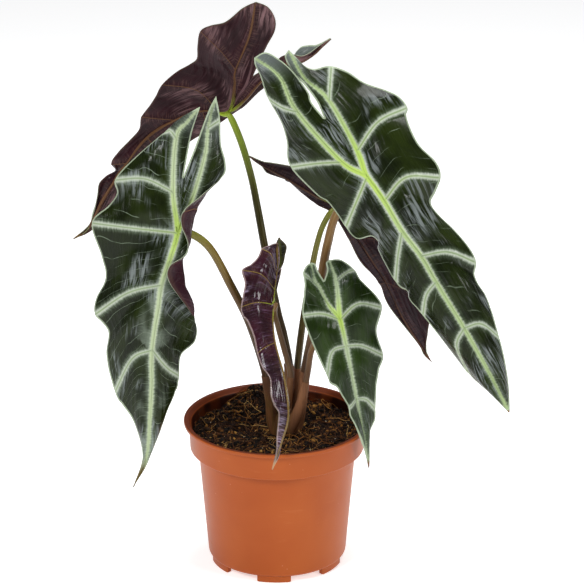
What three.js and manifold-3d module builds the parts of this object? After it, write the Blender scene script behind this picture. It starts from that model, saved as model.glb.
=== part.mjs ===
// A potted alocasia: six arrow-shaped leaves on separate stems, growing from one crown in the soil of
// a round nursery pot that stands on six feet. Millimetres, +Z up, the front of the plant faces -Y.
import * as THREE from "three";
import Module from "manifold-3d";

const wasm = await Module();
wasm.setup();

const CLEARANCE = 0.3; // gap between pieces that touch in the real object

// The pot sets the scale of everything else: a 12 cm pot, 100 mm tall.
const POT = {
  height: 100,
  rimRadius: 62,
  lipHeight: 2.4,
  lipWidth: 2.7,
  lipBevel: 0.5,
  bandTopRadius: 58.7,
  bandFootRadius: 57.9,
  bandHeight: 19.8,
  shoulderRadius: 52.5,
  baseRadius: 46.6,
  baseTop: 11,
  baseBevel: 1.4,
  baseDraft: 0.4,
  wall: 1.8,
  floor: 2.2,
  floorCorner: 0.6,
  bandStepStart: 1,
  bandStepEnd: 2.4,
  lipUnder: 0.8,
  feet: 6,
  footHeight: 4.5,
  footHalfWidth: 11.3,
  footDepth: 3.4,
  footInset: 2,
  footSunk: 0.5,
  footTurn: -2.5,
  footSides: 3,
  drainRadius: 4,
  drainRing: 35,
  drainSides: 12,
  segments: 48,
};

// `waves` are the lumps of the surface: the height of each and its turn in radians per mm along x and
// y. `forms` are the wider rises and dips: the mound at the back, the hollow behind the crown and the
// dip round it.
const SOIL = {
  depthBelowRim: 9.5,
  waves: { height: 1.1, x: 0.31, y: 0.27, startX: 0.9, startY: 0.4 },
  slant: { height: 0.77, x: 0.53, y: -0.41 },
  forms: [
    { x: -12, y: 48, width: 15, rise: 11.5 },
    { x: -14, y: 10, width: 13, rise: -7 },
    { x: 6.4, y: 2, width: 15, rise: -1.5 },
  ],
  segments: 36,
  rings: 8,
};

const BLADE = { thickness: 0.8, ribHeight: 0.5, midribHeight: 1.1, quilt: 0.9 };

// The short stem that all the leaves grow from; a sheath wraps the foot of each leaf's stem.
const CROWN = {
  x: 6.4,
  y: 2,
  bottom: 76,
  top: 103,
  radius: 10.2,
  taper: 6,
  footInset: 2,
  topInset: 3,
  sheathStart: { rise: 4, share: 0.6 },
  sheathWall: 2,
  sheathLip: 1,
  segments: 16,
};

const STEM = { sides: 10, steps: 12, sheathSteps: 5 };

// Plant points are read off one front view, taken from a little above: u to the right of the pot's axis
// and v up from its feet, in mm on the plane square to that view, and the real depth y.
const VIEW = {
  distance: 1900,
  tilt: THREE.MathUtils.degToRad(20.65),
  aim: new THREE.Vector3(10, 0, 189.3),
  u: 11.3,
  v: 193.3,
  scale: 0.9814,
};
const FORWARD = new THREE.Vector3(0, Math.cos(VIEW.tilt), -Math.sin(VIEW.tilt));
const UP = new THREE.Vector3(0, Math.sin(VIEW.tilt), Math.cos(VIEW.tilt));
const EYE = VIEW.aim.clone().addScaledVector(FORWARD, -VIEW.distance);

// The point at depth y that the front view shows at (u, v).
function seen([u, v, y]) {
  const ray = FORWARD.clone().multiplyScalar(VIEW.distance);
  ray.addScaledVector(UP, (v - VIEW.v) * VIEW.scale);
  ray.x += (u - VIEW.u) * VIEW.scale;
  return EYE.clone().addScaledVector(ray, (y - EYE.y) / ray.y);
}

// Each leaf: `midrib` runs from the apex to the joint, where the stem meets the blade, and its points
// are numbered 0, 1, 2 and on. `vein` carries that numbering from the joint to a lobe's tip. A side's
// `edge` rows are [number, rib height share, margin point, point halfway across], and `notch` is the
// line from the joint to the bottom of the notch between the lobes, with `inner` the lobe's own edge.
// `faces` is 1 where the front view shows the upper face and -1 where it shows the underside.
const LEAVES = {
  right: {
    faces: 1,
    color: 0x33452c,
    midrib: [
      [156.3, 112.7, -78], [144, 137.3, -77], [126, 169.3, -73], [107.3, 200, -67],
      [97.3, 217.3, -62], [84.7, 234, -58], [72.7, 254, -52], [61.3, 270, -45],
    ],
    notch: [[51.3, 284, -40], [40.7, 299.3, -36], [32.7, 309.3, -32]],
    sides: [
      {
        hand: -1,
        vein: [[44.7, 280, -41], [14.7, 313.3, -31], [2.7, 336.7, -23], [-13.9, 349.5, -18.5]],
        edge: [
          [1, 0, [142.7, 126.7, -74]],
          [2, 1, [129.3, 138.7, -64], [121.3, 157.3, -70]],
          [2.5, 0, [114.7, 158, -60]],
          [3, 1, [98.7, 178, -58], [101, 191.3, -64]],
          [3.6, 0, [89.8, 188.7, -52.5]],
          [4, 0, [88.5, 193.5, -51]],
          [5, 1, [80.6, 200.3, -52], [82, 217.3, -58]],
          [5.6, 0, [69, 221.5, -44]],
          [5.8, 0, [69, 227, -42.5]],
          [6, 0, [64.7, 230.6, -41]],
          [6.3, 0, [55.5, 228.7, -37.5]],
          [6.6, 0, [50.3, 232, -37]],
          [7, 1, [47.3, 236.7, -38], [54, 252.7, -44]],
          [7.5, 0, [35.2, 253.8, -34]],
          [7.7, 0, [28, 258.4, -32.5]],
          [8, 1, [10.7, 276.7, -30], [28, 279, -38]],
          [8.5, 0, [8, 294.7, -26]],
          [8.75, 0, [4.2, 307, -25]],
          [9, 1, [-4.3, 322, -23], [5.3, 316, -29]],
          [10, 0, [-9.9, 338, -20]],
          [10.6, 0, [-13.3, 345, -18.5]],
        ],
        notchAt: 8.7,
        inner: [
          [8.95, [24.4, 319.4, -27]], [9.2, [22.3, 325.8, -23]], [10, [10.7, 341.3, -17]],
          [10.6, [-1, 350.8, -15.5]], [10.85, [-7.5, 353, -16.5]],
        ],
      },
      {
        hand: 1,
        vein: [[54.7, 287.3, -40], [36, 320.7, -26], [20, 335.3, -17], [9, 354.7, -8]],
        edge: [
          [1, 0, [155.3, 132.7, -74]],
          [2, 1, [149.3, 163.3, -66], [137.3, 172, -73]],
          [3, 0, [140.5, 190.5, -58]],
          [3.3, 0, [135, 198.5, -57]],
          [3.6, 0, [132.8, 204.7, -56]],
          [4, 1, [134, 213, -58], [115.3, 220, -64]],
          [4.4, 0, [130, 221.7, -54]],
          [5, 0, [119.7, 234, -48]],
          [5.4, 0, [107.3, 246.3, -44]],
          [5.6, 0, [103.6, 253.3, -43]],
          [5.75, 0, [106.5, 259.5, -42.5]],
          [6, 1, [110.3, 269.5, -42], [87.3, 269.7, -51]],
          [6.5, 0, [107.3, 279.5, -37]],
          [7, 0, [96.7, 290.2, -32]],
          [7.4, 0, [91.3, 299.5, -29]],
          [7.75, 0, [87.3, 310.7, -26]],
          [8, 1, [88.2, 316.3, -25], [68.7, 306.7, -34]],
          [8.2, 0, [82.7, 323.3, -22]],
          [8.4, 0, [73.7, 327.7, -19]],
          [8.6, 0, [59.5, 332.6, -16]],
          [8.8, 0, [48.3, 340, -13.5]],
          [9, 1, [37.5, 343.8, -12], [36.7, 332, -20]],
          [9.5, 0, [26, 341.8, -11.5]],
          [10, 0, [19.3, 343.9, -10]],
        ],
        notchAt: 8.6,
        inner: [
          [8.9, [28.9, 318.3, -28]], [9.2, [25.4, 323.9, -25]], [9.6, [18.8, 332.3, -19.5]],
          [10, [12.4, 339, -15]], [10.6, [6.6, 349.6, -10]],
        ],
      },
    ],
    stem: {
      points: [
        [13.6, 104.5, 1.4], [17.3, 124, 0.3], [20, 141.3, -2.5], [26.7, 174.7, -8],
        [31.7, 208, -13], [35.3, 226.7, -18], [40, 243.3, -24], [50.5, 259, -34],
      ],
      base: 3.2,
      tip: 2.6,
      sheathTop: 141,
    },
  },
  left: {
    faces: 1,
    color: 0x35472d,
    midrib: [
      [-94.7, 62.7, -50], [-86, 82, -50], [-83.3, 112, -50], [-82.3, 131.3, -51],
      [-82, 154.7, -50], [-78, 182, -48], [-75.7, 198, -46], [-70, 215.3, -43], [-65, 232.7, -39],
    ],
    notch: [[-64, 244.7, -37], [-62.7, 258, -34], [-61.3, 270, -30]],
    sides: [
      {
        hand: -1,
        vein: [[-68, 260, -34], [-66, 296, -24], [-58.7, 306.7, -20], [-50, 316.7, -16]],
        edge: [
          [1, 0, [-88, 83.3, -49]],
          [2, 0, [-94, 106.7, -44]],
          [3, 0, [-100.7, 117.3, -42]],
          [4, 1, [-106.7, 126.7, -38], [-95.3, 148.7, -46]],
          [5, 0, [-112, 151.3, -34]],
          [5.5, 0, [-110.9, 166.5, -32]],
          [5.75, 0, [-115, 173, -31.5]],
          [6, 1, [-120, 178.3, -32], [-98, 192.7, -41]],
          [6.5, 0, [-119.3, 188.7, -28]],
          [7, 0, [-112.7, 202.7, -28]],
          [7.5, 0, [-115.3, 217.3, -26]],
          [8, 1, [-122, 239.3, -26], [-96, 236, -35]],
          [8.5, 0, [-110.3, 251.3, -24]],
          [8.75, 0, [-105.2, 259.3, -22.5]],
          [9, 1, [-106.7, 268, -23], [-86.7, 268.7, -31]],
          [9.5, 0, [-92.7, 283.3, -20]],
          [10, 1, [-74, 299.3, -20], [-70, 300.7, -22]],
          [11, 0, [-64.7, 307.3, -18]],
        ],
        notchAt: 9.3,
        inner: [[10, [-56.7, 294.7, -22]], [11, [-54, 305.3, -18]]],
      },
      {
        hand: 1,
        vein: [[-55.3, 255.3, -32], [-46.7, 284.7, -24], [-44.7, 302.7, -18], [-39.3, 324, -12]],
        edge: [
          [1, 0, [-84, 83.3, -49]],
          [2, 0, [-72.7, 112, -42]],
          [3, 0, [-66.7, 126.7, -38]],
          [4, 1, [-64, 137.3, -38], [-72.7, 143.3, -45]],
          [4.5, 0, [-62.7, 151.3, -34]],
          [5, 0, [-53.3, 161.3, -30], [-65, 172, -40]],
          [5.6, 0, [-54.7, 176.7, -32]],
          [6, 0, [-70, 199.3, -52], [-58.7, 198, -36]],
          [6.5, 0, [-70, 210.7, -51], [-60, 211, -40]],
          [6.75, 0, [-59.7, 217.7, -43], [-60.7, 219, -39.5]],
          [7, 0, [-58, 226, -46], [-56.7, 225.3, -38]],
          [7.5, 0, [-62, 237.3, -47], [-55.3, 236, -36]],
          [8, 1, [-61.3, 247.3, -44], [-52.7, 248, -33]],
          [8.5, 0, [-50, 256.7, -36], [-47, 256.7, -30]],
          [9, 0, [-34.7, 270.7, -24], [-45.3, 262.7, -29]],
          [9.5, 0, [-33.3, 280, -21]],
          [10, 0, [-36.3, 291.3, -19], [-41.3, 288, -22]],
          [11, 1, [-36.7, 308, -16], [-40.7, 305.3, -17]],
        ],
        notchAt: 9.4,
        inner: [[10, [-54, 288, -24]], [11, [-48, 304.7, -18]], [11.6, [-43, 317.3, -14]]],
      },
    ],
    stem: {
      points: [
        [-0.4, 105, 1.6], [-2.4, 121, -1], [-7.3, 143.3, -6], [-17.2, 172.7, -12],
        [-29.3, 197.3, -19], [-44.7, 224, -26], [-56, 232, -31],
      ],
      base: 3,
      tip: 2.5,
      sheathTop: 138,
    },
  },
  back_left: {
    faces: -1,
    color: 0x3a2629,
    midrib: [
      [-134.7, 228.7, 94.5], [-124.7, 235.3, 92], [-114, 256, 86.5], [-100, 277.3, 78.5],
      [-84.7, 296, 70], [-66.7, 308, 62], [-48, 314, 54], [-31, 314, 47],
    ],
    notch: [[-27, 318, 45], [-22, 326, 42], [-14.7, 337.3, 38]],
    sides: [
      {
        hand: -1,
        vein: [[-26.7, 331.3, 42], [-26, 341.8, 39], [-16.5, 364.5, 33.5], [-12.8, 386.8, 28.5]],
        edge: [
          [1, 0, [-124, 238, 92]],
          [1.5, 0, [-120.7, 247, 88]],
          [2, 0, [-118.3, 258, 85]],
          [2.4, 0, [-117, 266, 83]],
          [2.65, 0, [-112.3, 270.7, 86]],
          [2.85, 0, [-106.3, 274.3, 90]],
          [3.1, 1, [-109.3, 279, 82], [-104, 279, 80.5]],
          [3.5, 0, [-105.3, 285.7, 80]],
          [4, 0, [-97, 294.2, 77]],
          [4.5, 0, [-90.7, 301.7, 75]],
          [5, 1, [-89, 310.2, 73], [-78, 309, 67.5]],
          [5.4, 0, [-83.3, 318, 69]],
          [6, 0, [-79.3, 324.3, 66]],
          [6.6, 1, [-75, 332, 63], [-52, 328, 56]],
          [7, 0, [-66.3, 339.7, 60]],
          [7.5, 0, [-57, 345, 56.5]],
          [8, 0, [-52.3, 349, 53]],
          [8.5, 0, [-51.6, 358, 49.5]],
          [9, 1, [-49.6, 367.5, 46], [-35.3, 353.5, 42]],
          [9.3, 0, [-43.5, 370.8, 42]],
          [9.6, 0, [-33.5, 373.2, 37.5]],
          [10.2, 0, [-22, 382.3, 32]],
        ],
        notchAt: 9,
        inner: [
          [9.4, [-9.7, 348.5, 34]], [9.8, [-5.3, 357.7, 31.5]], [10.3, [-0.2, 367.5, 30]],
          [10.6, [0, 375.5, 29]], [10.85, [-5, 383.5, 28.5]],
        ],
      },
      {
        hand: 1,
        vein: [
          [-20, 322, 43], [-8.7, 334.7, 39], [6.7, 345.5, 35], [17.8, 347.4, 32], [28.6, 354.8, 30],
          [36.8, 362.6, 29],
        ],
        edge: [
          [1, 0, [-122, 234.7, 93]],
          [2, 0, [-106.7, 251.3, 86.5]],
          [3, 0, [-90, 268, 78.5]],
          [4, 1, [-73.3, 281.3, 70], [-78.7, 289.3, 69]],
          [5, 0, [-56, 294, 62]],
          [6, 1, [-44.7, 300.7, 55.5], [-46, 307.3, 54]],
          [7, 0, [-32, 309.5, 51.5]],
          [8, 0, [-21.3, 317, 50]],
          [9, 0, [-8, 329, 47]],
          [10, 0, [9, 341.3, 41]],
          [10.5, 0, [11.5, 348.5, 40.5]],
          [11, 0, [16.3, 355.8, 38]],
          [11.5, 0, [22.3, 357.6, 35.5]],
          [12, 0, [27.8, 358, 32]],
        ],
        notchAt: 9,
        inner: [
          [9.6, [-1, 346, 38]], [10, [4.5, 350.5, 36.5]], [10.5, [11.5, 351.6, 32.5]],
          [11, [17.5, 350.5, 29.5]], [11.5, [23.2, 352.7, 28]], [12, [28, 356.4, 28.8]],
        ],
      },
    ],
    stem: {
      points: [
        [3.8, 109.3, 8.3], [7.3, 124, 6], [9.5, 141.3, 3], [5.5, 165, 7], [2, 178, 10],
        [-7, 224, 21], [-11.3, 247.3, 28], [-16, 270.7, 34], [-24, 297, 40],
      ],
      base: 3,
      tip: 2.2,
      sheathTop: 146,
    },
  },
  back_right: {
    faces: -1,
    color: 0x40282b,
    midrib: [
      [104.6, 146.4, 73.5], [98.7, 154.7, 73], [85.3, 176.7, 70], [74, 200, 65],
      [64, 216, 59.5], [54, 230.7, 55.5], [42, 250, 50],
    ],
    notch: [[39.8, 257, 50], [38.3, 262.5, 49.5], [36.7, 268, 48.5]],
    sides: [
      {
        hand: -1,
        vein: [[26.7, 258, 51.5], [6.7, 270, 51.5], [-6.7, 277.3, 51.5], [-17.5, 284.3, 50]],
        edge: [
          [0.7, 0, [99.1, 152, 73]],
          [1, 0, [96, 158, 73]],
          [2, 0, [76, 184, 67.5]],
          [3, 1, [69.3, 199.3, 63.5], [71, 199, 64]],
          [4, 0, [56.7, 214, 58]],
          [5, 1, [49.3, 228, 52.5], [51, 228.5, 54]],
          [6, 0, [38.7, 245.3, 51.5]],
          [7, 0, [27.3, 252, 54]],
          [7.5, 0, [17.2, 259.7, 54]],
          [8, 1, [8.7, 267.3, 54], [7.5, 268.5, 52.5]],
          [9, 0, [-5.3, 272.7, 52.5]],
          [9.3, 0, [-8.7, 277.2, 51.5]],
        ],
        notchAt: 7,
        inner: [
          [7.5, [23.3, 274, 48.5]], [8.3, [8.7, 277.5, 47]], [9, [-3.3, 279.5, 48.5]],
          [9.3, [-8, 280.2, 49.7]],
        ],
      },
      {
        hand: 1,
        vein: [[51.3, 264.7, 48.5], [62, 281.3, 46], [73.3, 301.3, 40.5]],
        edge: [
          [0.7, 0, [101, 153, 73]],
          [1, 0, [100.7, 158, 73]],
          [2, 0, [102, 167.3, 67.5]],
          [3, 1, [104.7, 188, 62], [90, 194, 63.5]],
          [4, 0, [100, 208, 56.5]],
          [5, 1, [95.3, 228, 51.5], [75.3, 228, 54]],
          [6, 0, [86.7, 248, 47]],
          [7, 1, [83.3, 264.7, 43], [67.3, 264, 46]],
          [8, 0, [80, 284.7, 40.5]],
        ],
        notchAt: 7,
        inner: [[8, [54, 288, 46]], [8.6, [64.7, 298, 43]]],
      },
    ],
    stem: {
      points: [
        [11.7, 109.3, 8.3], [13.2, 124, 9.3], [15.2, 146.7, 10], [18.7, 174.7, 14],
        [22, 194.7, 21], [27.7, 224, 33], [31.7, 237, 38], [37.3, 246.5, 42],
      ],
      base: 2.6,
      tip: 1.8,
      sheathTop: 143,
    },
  },
  small: {
    faces: 1,
    color: 0x35502c,
    midrib: [
      [62.7, 76, -28], [57.3, 104.7, -35], [54, 122, -40], [50, 142.7, -42],
      [47.3, 157.3, -41], [43.3, 175, -38],
    ],
    notch: [[40, 183.5, -36.5], [36.5, 192, -35], [32.7, 200.7, -33]],
    sides: [
      {
        hand: -1,
        vein: [[35.3, 184.7, -36], [30, 195.3, -34], [26.3, 202, -32], [24, 213, -28]],
        edge: [
          [0.5, 0, [58.6, 90.7, -34]],
          [1, 0, [53.6, 103.3, -43]],
          [1.6, 0, [49.9, 111, -46.5]],
          [2, 1, [49.3, 116, -47], [51.3, 118, -44]],
          [2.5, 0, [45, 123, -48]],
          [3, 0, [41, 129.8, -48.5]],
          [3.5, 0, [37, 132.3, -48]],
          [4, 1, [34.9, 137, -47], [38, 153.3, -45]],
          [4.5, 0, [24, 161.3, -42]],
          [5, 1, [18.4, 177.7, -38], [31.3, 178.7, -39]],
          [5.6, 0, [19.2, 190, -35]],
          [6, 0, [19.7, 198.7, -34]],
          [7, 0.7, [18.7, 205.7, -31], [24.7, 200.7, -32]],
          [8, 0, [20.7, 210.3, -29]],
        ],
        notchAt: 7.2,
        inner: [[8, [28.7, 207.3, -31]], [8.6, [26.7, 212, -29]]],
      },
      {
        hand: 1,
        vein: [[42, 191.3, -36], [40.7, 200.7, -34], [38.7, 207.3, -31], [36, 214.7, -28]],
        edge: [
          [0.5, 0, [63.1, 92, -28.5]],
          [1, 0, [63.5, 101.5, -28.5]],
          [1.5, 0, [66.3, 108.3, -30]],
          [2, 1, [67, 115.3, -33], [60.7, 121.7, -38]],
          [3, 0, [67.5, 130.7, -35]],
          [3.5, 0, [69, 141, -35]],
          [4, 1, [72, 151, -34], [58, 157.3, -39]],
          [4.5, 0, [67.6, 167, -31.5]],
          [5, 1, [71.2, 183, -30], [55.3, 185.3, -36]],
          [5.3, 0, [67.7, 190.3, -29]],
          [5.6, 0, [60.7, 197.5, -29]],
          [6, 0, [56.5, 201.7, -29]],
          [7, 0.7, [52.7, 208.3, -29], [47.3, 206, -31]],
          [8, 0, [44, 214.5, -28]],
        ],
        notchAt: 7,
        inner: [[8, [34.7, 208, -31]], [8.6, [34, 212.7, -29]]],
      },
    ],
    stem: {
      points: [
        [10.3, 102.5, -4.5], [16.5, 116, -7.3], [20, 131.3, -10], [22, 141.3, -12],
        [24.7, 155.3, -16], [33.3, 167.5, -27],
      ],
      base: 2.4,
      tip: 1.7,
      sheathTop: 134,
    },
  },
  curled: {
    faces: -1,
    color: 0x4a3034,
    midrib: [
      [-2.1, 74.8, -68], [4.8, 95.5, -70], [8.5, 112, -68], [5.2, 137, -57.5],
      [-0.7, 159.3, -42], [-2.2, 173, -33], [-1.6, 184.9, -25],
    ],
    notch: [[-0.7, 190.7, -22], [0, 198, -18.5], [1.6, 207, -15]],
    sides: [
      {
        hand: -1,
        vein: [[-1, 195, -21], [0.2, 205, -17.5], [1, 215, -15], [0.8, 226, -13]],
        edge: [
          [0.5, 0, [0.7, 86.5, -70.5]],
          [1, 0, [1.1, 96, -71.5]],
          [1.6, 0, [2, 106, -72]],
          [2, 0, [2.1, 113.7, -71.5]],
          [2.2, 0, [-0.6, 118, -70.5]],
          [2.5, 0, [-2.8, 125.3, -68]],
          [3, 0, [-3.4, 135.7, -62]],
          [3.4, 0, [-8.3, 142.7, -56.5]],
          [4, 1, [-11.9, 152, -50], [-6.7, 156.3, -48]],
          [4.5, 0, [-14.6, 164.7, -45]],
          [5, 0, [-18.6, 174, -41], [-9.7, 176, -39]],
          [5.6, 0, [-22, 177.7, -38]],
          [6, 1, [-22.8, 183.3, -35], [-12, 186.3, -33.5]],
          [6.4, 0, [-21.4, 192, -32]],
          [6.7, 0, [-20.3, 199, -29.5]],
          [7, 1, [-22, 207.7, -26.5], [-9.5, 205, -27]],
          [7.3, 0, [-16, 211.7, -24]],
          [7.6, 0, [-11.7, 216, -21.5]],
          [8, 1, [-8.8, 222, -19], [-2.7, 217.7, -20]],
          [8.6, 0, [-3.7, 224.3, -16]],
        ],
        notchAt: 8,
        inner: [[9, [3, 215.7, -12.7]], [9.6, [2.3, 222.7, -12]]],
      },
      {
        hand: 1,
        vein: [[0.3, 196, -17.5], [2.7, 207, -13], [3.7, 217, -9.5], [2.5, 229.7, -6]],
        edge: [
          [0.5, 0, [2.5, 84.5, -67.5]],
          [1, 0, [2.7, 96, -66.5]],
          [2, 0, [4, 113, -64.5]],
          [3, 0, [-1, 136.7, -51.5], [5.2, 137, -53.5]],
          [4, 0, [-10.5, 157, -35], [-3, 159.7, -37]],
          [5, 0, [-15, 172.7, -26], [-5.3, 174.7, -27]],
          [6, 0, [-16.7, 184, -17.5], [-6, 187.3, -19]],
          [7, 0, [-12, 202, -10], [-3, 200, -12.5]],
          [8, 0, [-5.3, 213.7, -6], [0, 211, -9]],
          [9, 0, [-1, 222, -4.5]],
        ],
        notchAt: 8,
        inner: [[8.3, [5, 211, -11.7]], [9, [6.7, 218.3, -8.7]], [9.5, [7.5, 224.3, -7]]],
      },
    ],
    stem: {
      points: [
        [4.2, 102.5, -4.3], [8.2, 122, -6.3], [10.4, 138, -7.5], [6.4, 154, -9.5],
        [2, 170, -13], [-0.3, 179, -16.5],
      ],
      base: 2.2,
      tip: 1.7,
      sheathTop: 137,
    },
  },
};

const SOIL_COLOR = 0x2c211b;
const POT_COLOR = 0xb5653a;
const SHEATH_COLOR = 0x6b4a2c;
const STEM_COLORS = {
  right: 0x6e5130,
  left: 0x7b8a45,
  back_left: 0x8f9e4c,
  back_right: 0x6f8f43,
  small: 0x9a8459,
  curled: 0xa08458,
};

// A material with the given colour, roughness and no metal in it.
function paint(color, roughness) {
  return new THREE.MeshStandardMaterial({ color, roughness, metalness: 0 });
}

// The value at t of a smooth curve through keys [number, Vector3]: cubic pieces whose slope at a key
// is the mean slope between its two neighbours.
function along(keys, t) {
  let i = keys.findIndex(([n]) => n > t) - 1;
  if (i < 0) i = t <= keys[0][0] ? 0 : keys.length - 2;
  const slope = (k) => {
    const before = keys[Math.max(k - 1, 0)];
    const after = keys[Math.min(k + 1, keys.length - 1)];
    return after[1].clone().sub(before[1]).divideScalar(after[0] - before[0]);
  };
  const [a, p] = keys[i];
  const [b, q] = keys[i + 1];
  const span = b - a;
  const f = (t - a) / span;
  return p
    .clone()
    .multiplyScalar((1 + 2 * f) * (1 - f) ** 2)
    .addScaledVector(slope(i), span * f * (1 - f) ** 2)
    .addScaledVector(q, f * f * (3 - 2 * f))
    .addScaledVector(slope(i + 1), span * f * f * (f - 1));
}

// Points numbered from `first` as curve keys.
function numbered(points, first = 0) {
  return points.map((point, i) => [first + i, seen(point)]);
}

// A sheet of triangles whose corners are shared wherever two of them fall on the same place.
class Sheet {
  constructor() {
    this.corners = [];
    this.faces = [];
    this.places = new Map();
  }

  corner(point, ridge) {
    const place = point.toArray().map((c) => c.toFixed(3)).join();
    if (!this.places.has(place)) {
      this.places.set(place, this.corners.length);
      this.corners.push({ point, ridge: 0 });
    }
    const index = this.places.get(place);
    this.corners[index].ridge = Math.max(this.corners[index].ridge, ridge);
    return index;
  }

  // Rows of corners joined by triangles, which face the other way round where `flipped` is set.
  strip(rows, flipped) {
    for (let i = 0; i + 1 < rows.length; i++)
      for (let j = 0; j + 1 < rows[i].length; j++) {
        const [a, b, c, d] = [rows[i][j], rows[i + 1][j], rows[i + 1][j + 1], rows[i][j + 1]];
        this.face(flipped ? [a, d, c] : [a, c, d]);
        this.face(flipped ? [a, c, b] : [a, b, c]);
      }
  }

  face(corners) {
    if (new Set(corners).size === 3) this.faces.push(corners);
  }

  // The direction of the upper face at each corner: the mean of the triangles round it.
  normals() {
    const normals = this.corners.map(() => new THREE.Vector3());
    for (const face of this.faces) {
      const [a, b, c] = face.map((k) => this.corners[k].point);
      const normal = b.clone().sub(a).cross(c.clone().sub(a));
      face.forEach((k) => normals[k].add(normal));
    }
    return normals.map((normal) => normal.normalize());
  }

  // The closed shell that stands half of `thickness` off both faces, with the ridges below.
  shell(thickness) {
    const normals = this.normals();
    const upper = [];
    const lower = [];
    this.corners.forEach(({ point, ridge }, k) => {
      const normal = normals[k];
      upper.push(point.clone().addScaledVector(normal, thickness / 2));
      lower.push(point.clone().addScaledVector(normal, -thickness / 2 - ridge));
    });
    const count = upper.length;
    const triangles = [];
    const open = new Map();
    for (const [a, b, c] of this.faces) {
      triangles.push([a, b, c], [c + count, b + count, a + count]);
      for (const [from, to] of [[a, b], [b, c], [c, a]]) {
        if (!open.delete(`${to} ${from}`)) open.set(`${from} ${to}`, [from, to]);
      }
    }
    for (const [from, to] of open.values())
      triangles.push([to, from, from + count], [to, from + count, to + count]);
    const points = [...upper, ...lower].flatMap((point) => point.toArray());
    return solid(points, triangles.flat());
  }
}

// A manifold-3d solid from corner coordinates and triangle corners.
function solid(points, triangles) {
  const mesh = new wasm.Mesh({
    numProp: 3,
    vertProperties: new Float32Array(points),
    triVerts: new Uint32Array(triangles),
  });
  return new wasm.Manifold(mesh);
}

const RIB_HALF_WIDTH = 0.17; // in row numbers
const ACROSS = [0, 0.13, 0.42, 0.73, 1];
const ACROSS_INNER = [0, 0.5, 1];

// The numbers of a strip's rows: the whole numbers, the given rows, and one row close to each rib on
// either side of it, so that its ridge stays narrow.
function rowNumbers(from, to, edge) {
  const numbers = [from, to];
  for (let n = Math.ceil(from); n < to; n++) numbers.push(n);
  for (const [n, rib] of edge) {
    numbers.push(n);
    if (rib) numbers.push(n - RIB_HALF_WIDTH, n + RIB_HALF_WIDTH);
  }
  return [...new Set(numbers)].filter((n) => n >= from && n <= to).sort((a, b) => a - b);
}

// One leaf blade as a sheet. A row runs from the midrib or lobe vein, through the point halfway
// across, to the margin; between two ribs the blade swells by a sine of both directions.
function bladeSheet(leaf) {
  const sheet = new Sheet();
  const joint = leaf.midrib.length - 1;
  const apex = seen(leaf.midrib[0]);
  for (const side of leaf.sides) {
    const last = joint + side.vein.length;
    const tip = seen(side.vein[side.vein.length - 1]);
    const spine = spineOf(leaf, side, joint);
    const margin = side.edge.map(([n, , point]) => [n, seen(point)]);
    margin.unshift([0, apex]);
    margin.push([last, tip]);
    const bow = side.edge
      .filter((row) => row[3])
      .map(([n, , , middle]) => {
        const chord = spine(n).add(along(margin, n)).multiplyScalar(0.5);
        return [n, seen(middle).sub(chord)];
      });
    bow.unshift([0, new THREE.Vector3()]);
    bow.push([last, new THREE.Vector3()]);
    const ribs = new Map(side.edge.map(([n, height]) => [n, height]));
    const flipped = side.hand * leaf.faces > 0;
    const both = leaf.sides.flatMap(({ edge }) => edge.filter(([n]) => n <= joint));
    const seam = leaf.notch.map((_, k) => seamNumber(leaf, side, joint, k + 1));
    const inner = [...seam, ...side.inner.map(([n]) => n)].map((n) => [n, 0]);
    const lobe = [...side.edge.filter(([n]) => n >= joint), ...inner];
    const lobeNumbers = rowNumbers(joint, last, lobe);
    const outer = [...rowNumbers(0, joint, both), ...lobeNumbers.slice(1)].map((n) => {
      const start = spine(n);
      const end = along(margin, n);
      const middle = start.clone().add(end).multiplyScalar(0.5).add(along(bow, n));
      const across = [[0, start], [0.5, middle], [1, end]];
      const swell = swellOf(spine, margin, ribs, n, last, flipped);
      const midrib = BLADE.midribHeight * Math.sqrt(Math.min(n, last - n) / joint);
      const rib = BLADE.ribHeight * (ribs.get(n) || 0);
      return ACROSS.map((t) => {
        const point = along(across, t).addScaledVector(swell, Math.sin(Math.PI * t));
        return sheet.corner(point, t === 0 ? midrib : rib * (1 - t));
      });
    });
    sheet.strip(outer, flipped);
    sheet.strip(innerRows(sheet, leaf, side, joint, lobeNumbers), !flipped);
  }
  return sheet;
}

// The row number at which a lobe meets point k of the line that both lobes share.
function seamNumber(leaf, side, joint, k) {
  return joint + (k / leaf.notch.length) * (side.notchAt - joint);
}

// The swelling of the blade at row n: towards its upper face, widest midway between two ribs.
function swellOf(spine, margin, ribs, n, last, flipped) {
  const at = [...ribs].filter(([, height]) => height > 0).map(([number]) => number);
  const below = Math.max(0, ...at.filter((number) => number <= n));
  const above = Math.min(last, ...at.filter((number) => number > n));
  const share = above > below ? Math.sin((Math.PI * (n - below)) / (above - below)) : 0;
  const run = spine(Math.min(n + 0.05, last)).sub(spine(Math.max(n - 0.05, 0)));
  const across = along(margin, n).sub(spine(n));
  const normal = run.cross(across).normalize();
  return normal.multiplyScalar((flipped ? -1 : 1) * BLADE.quilt * share * share);
}

// The point under a blade's joint where its stem ends, just clear of the midrib.
function underJoint(leaf, sheet) {
  const joint = seen(leaf.midrib[leaf.midrib.length - 1]);
  const k = sheet.corner(joint, 0);
  const slant = 0.2 * leaf.stem.tip; // the stem meets the blade at a slant
  const depth = BLADE.thickness / 2 + sheet.corners[k].ridge + CLEARANCE + slant;
  return joint.addScaledVector(sheet.normals()[k], -depth);
}

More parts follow.
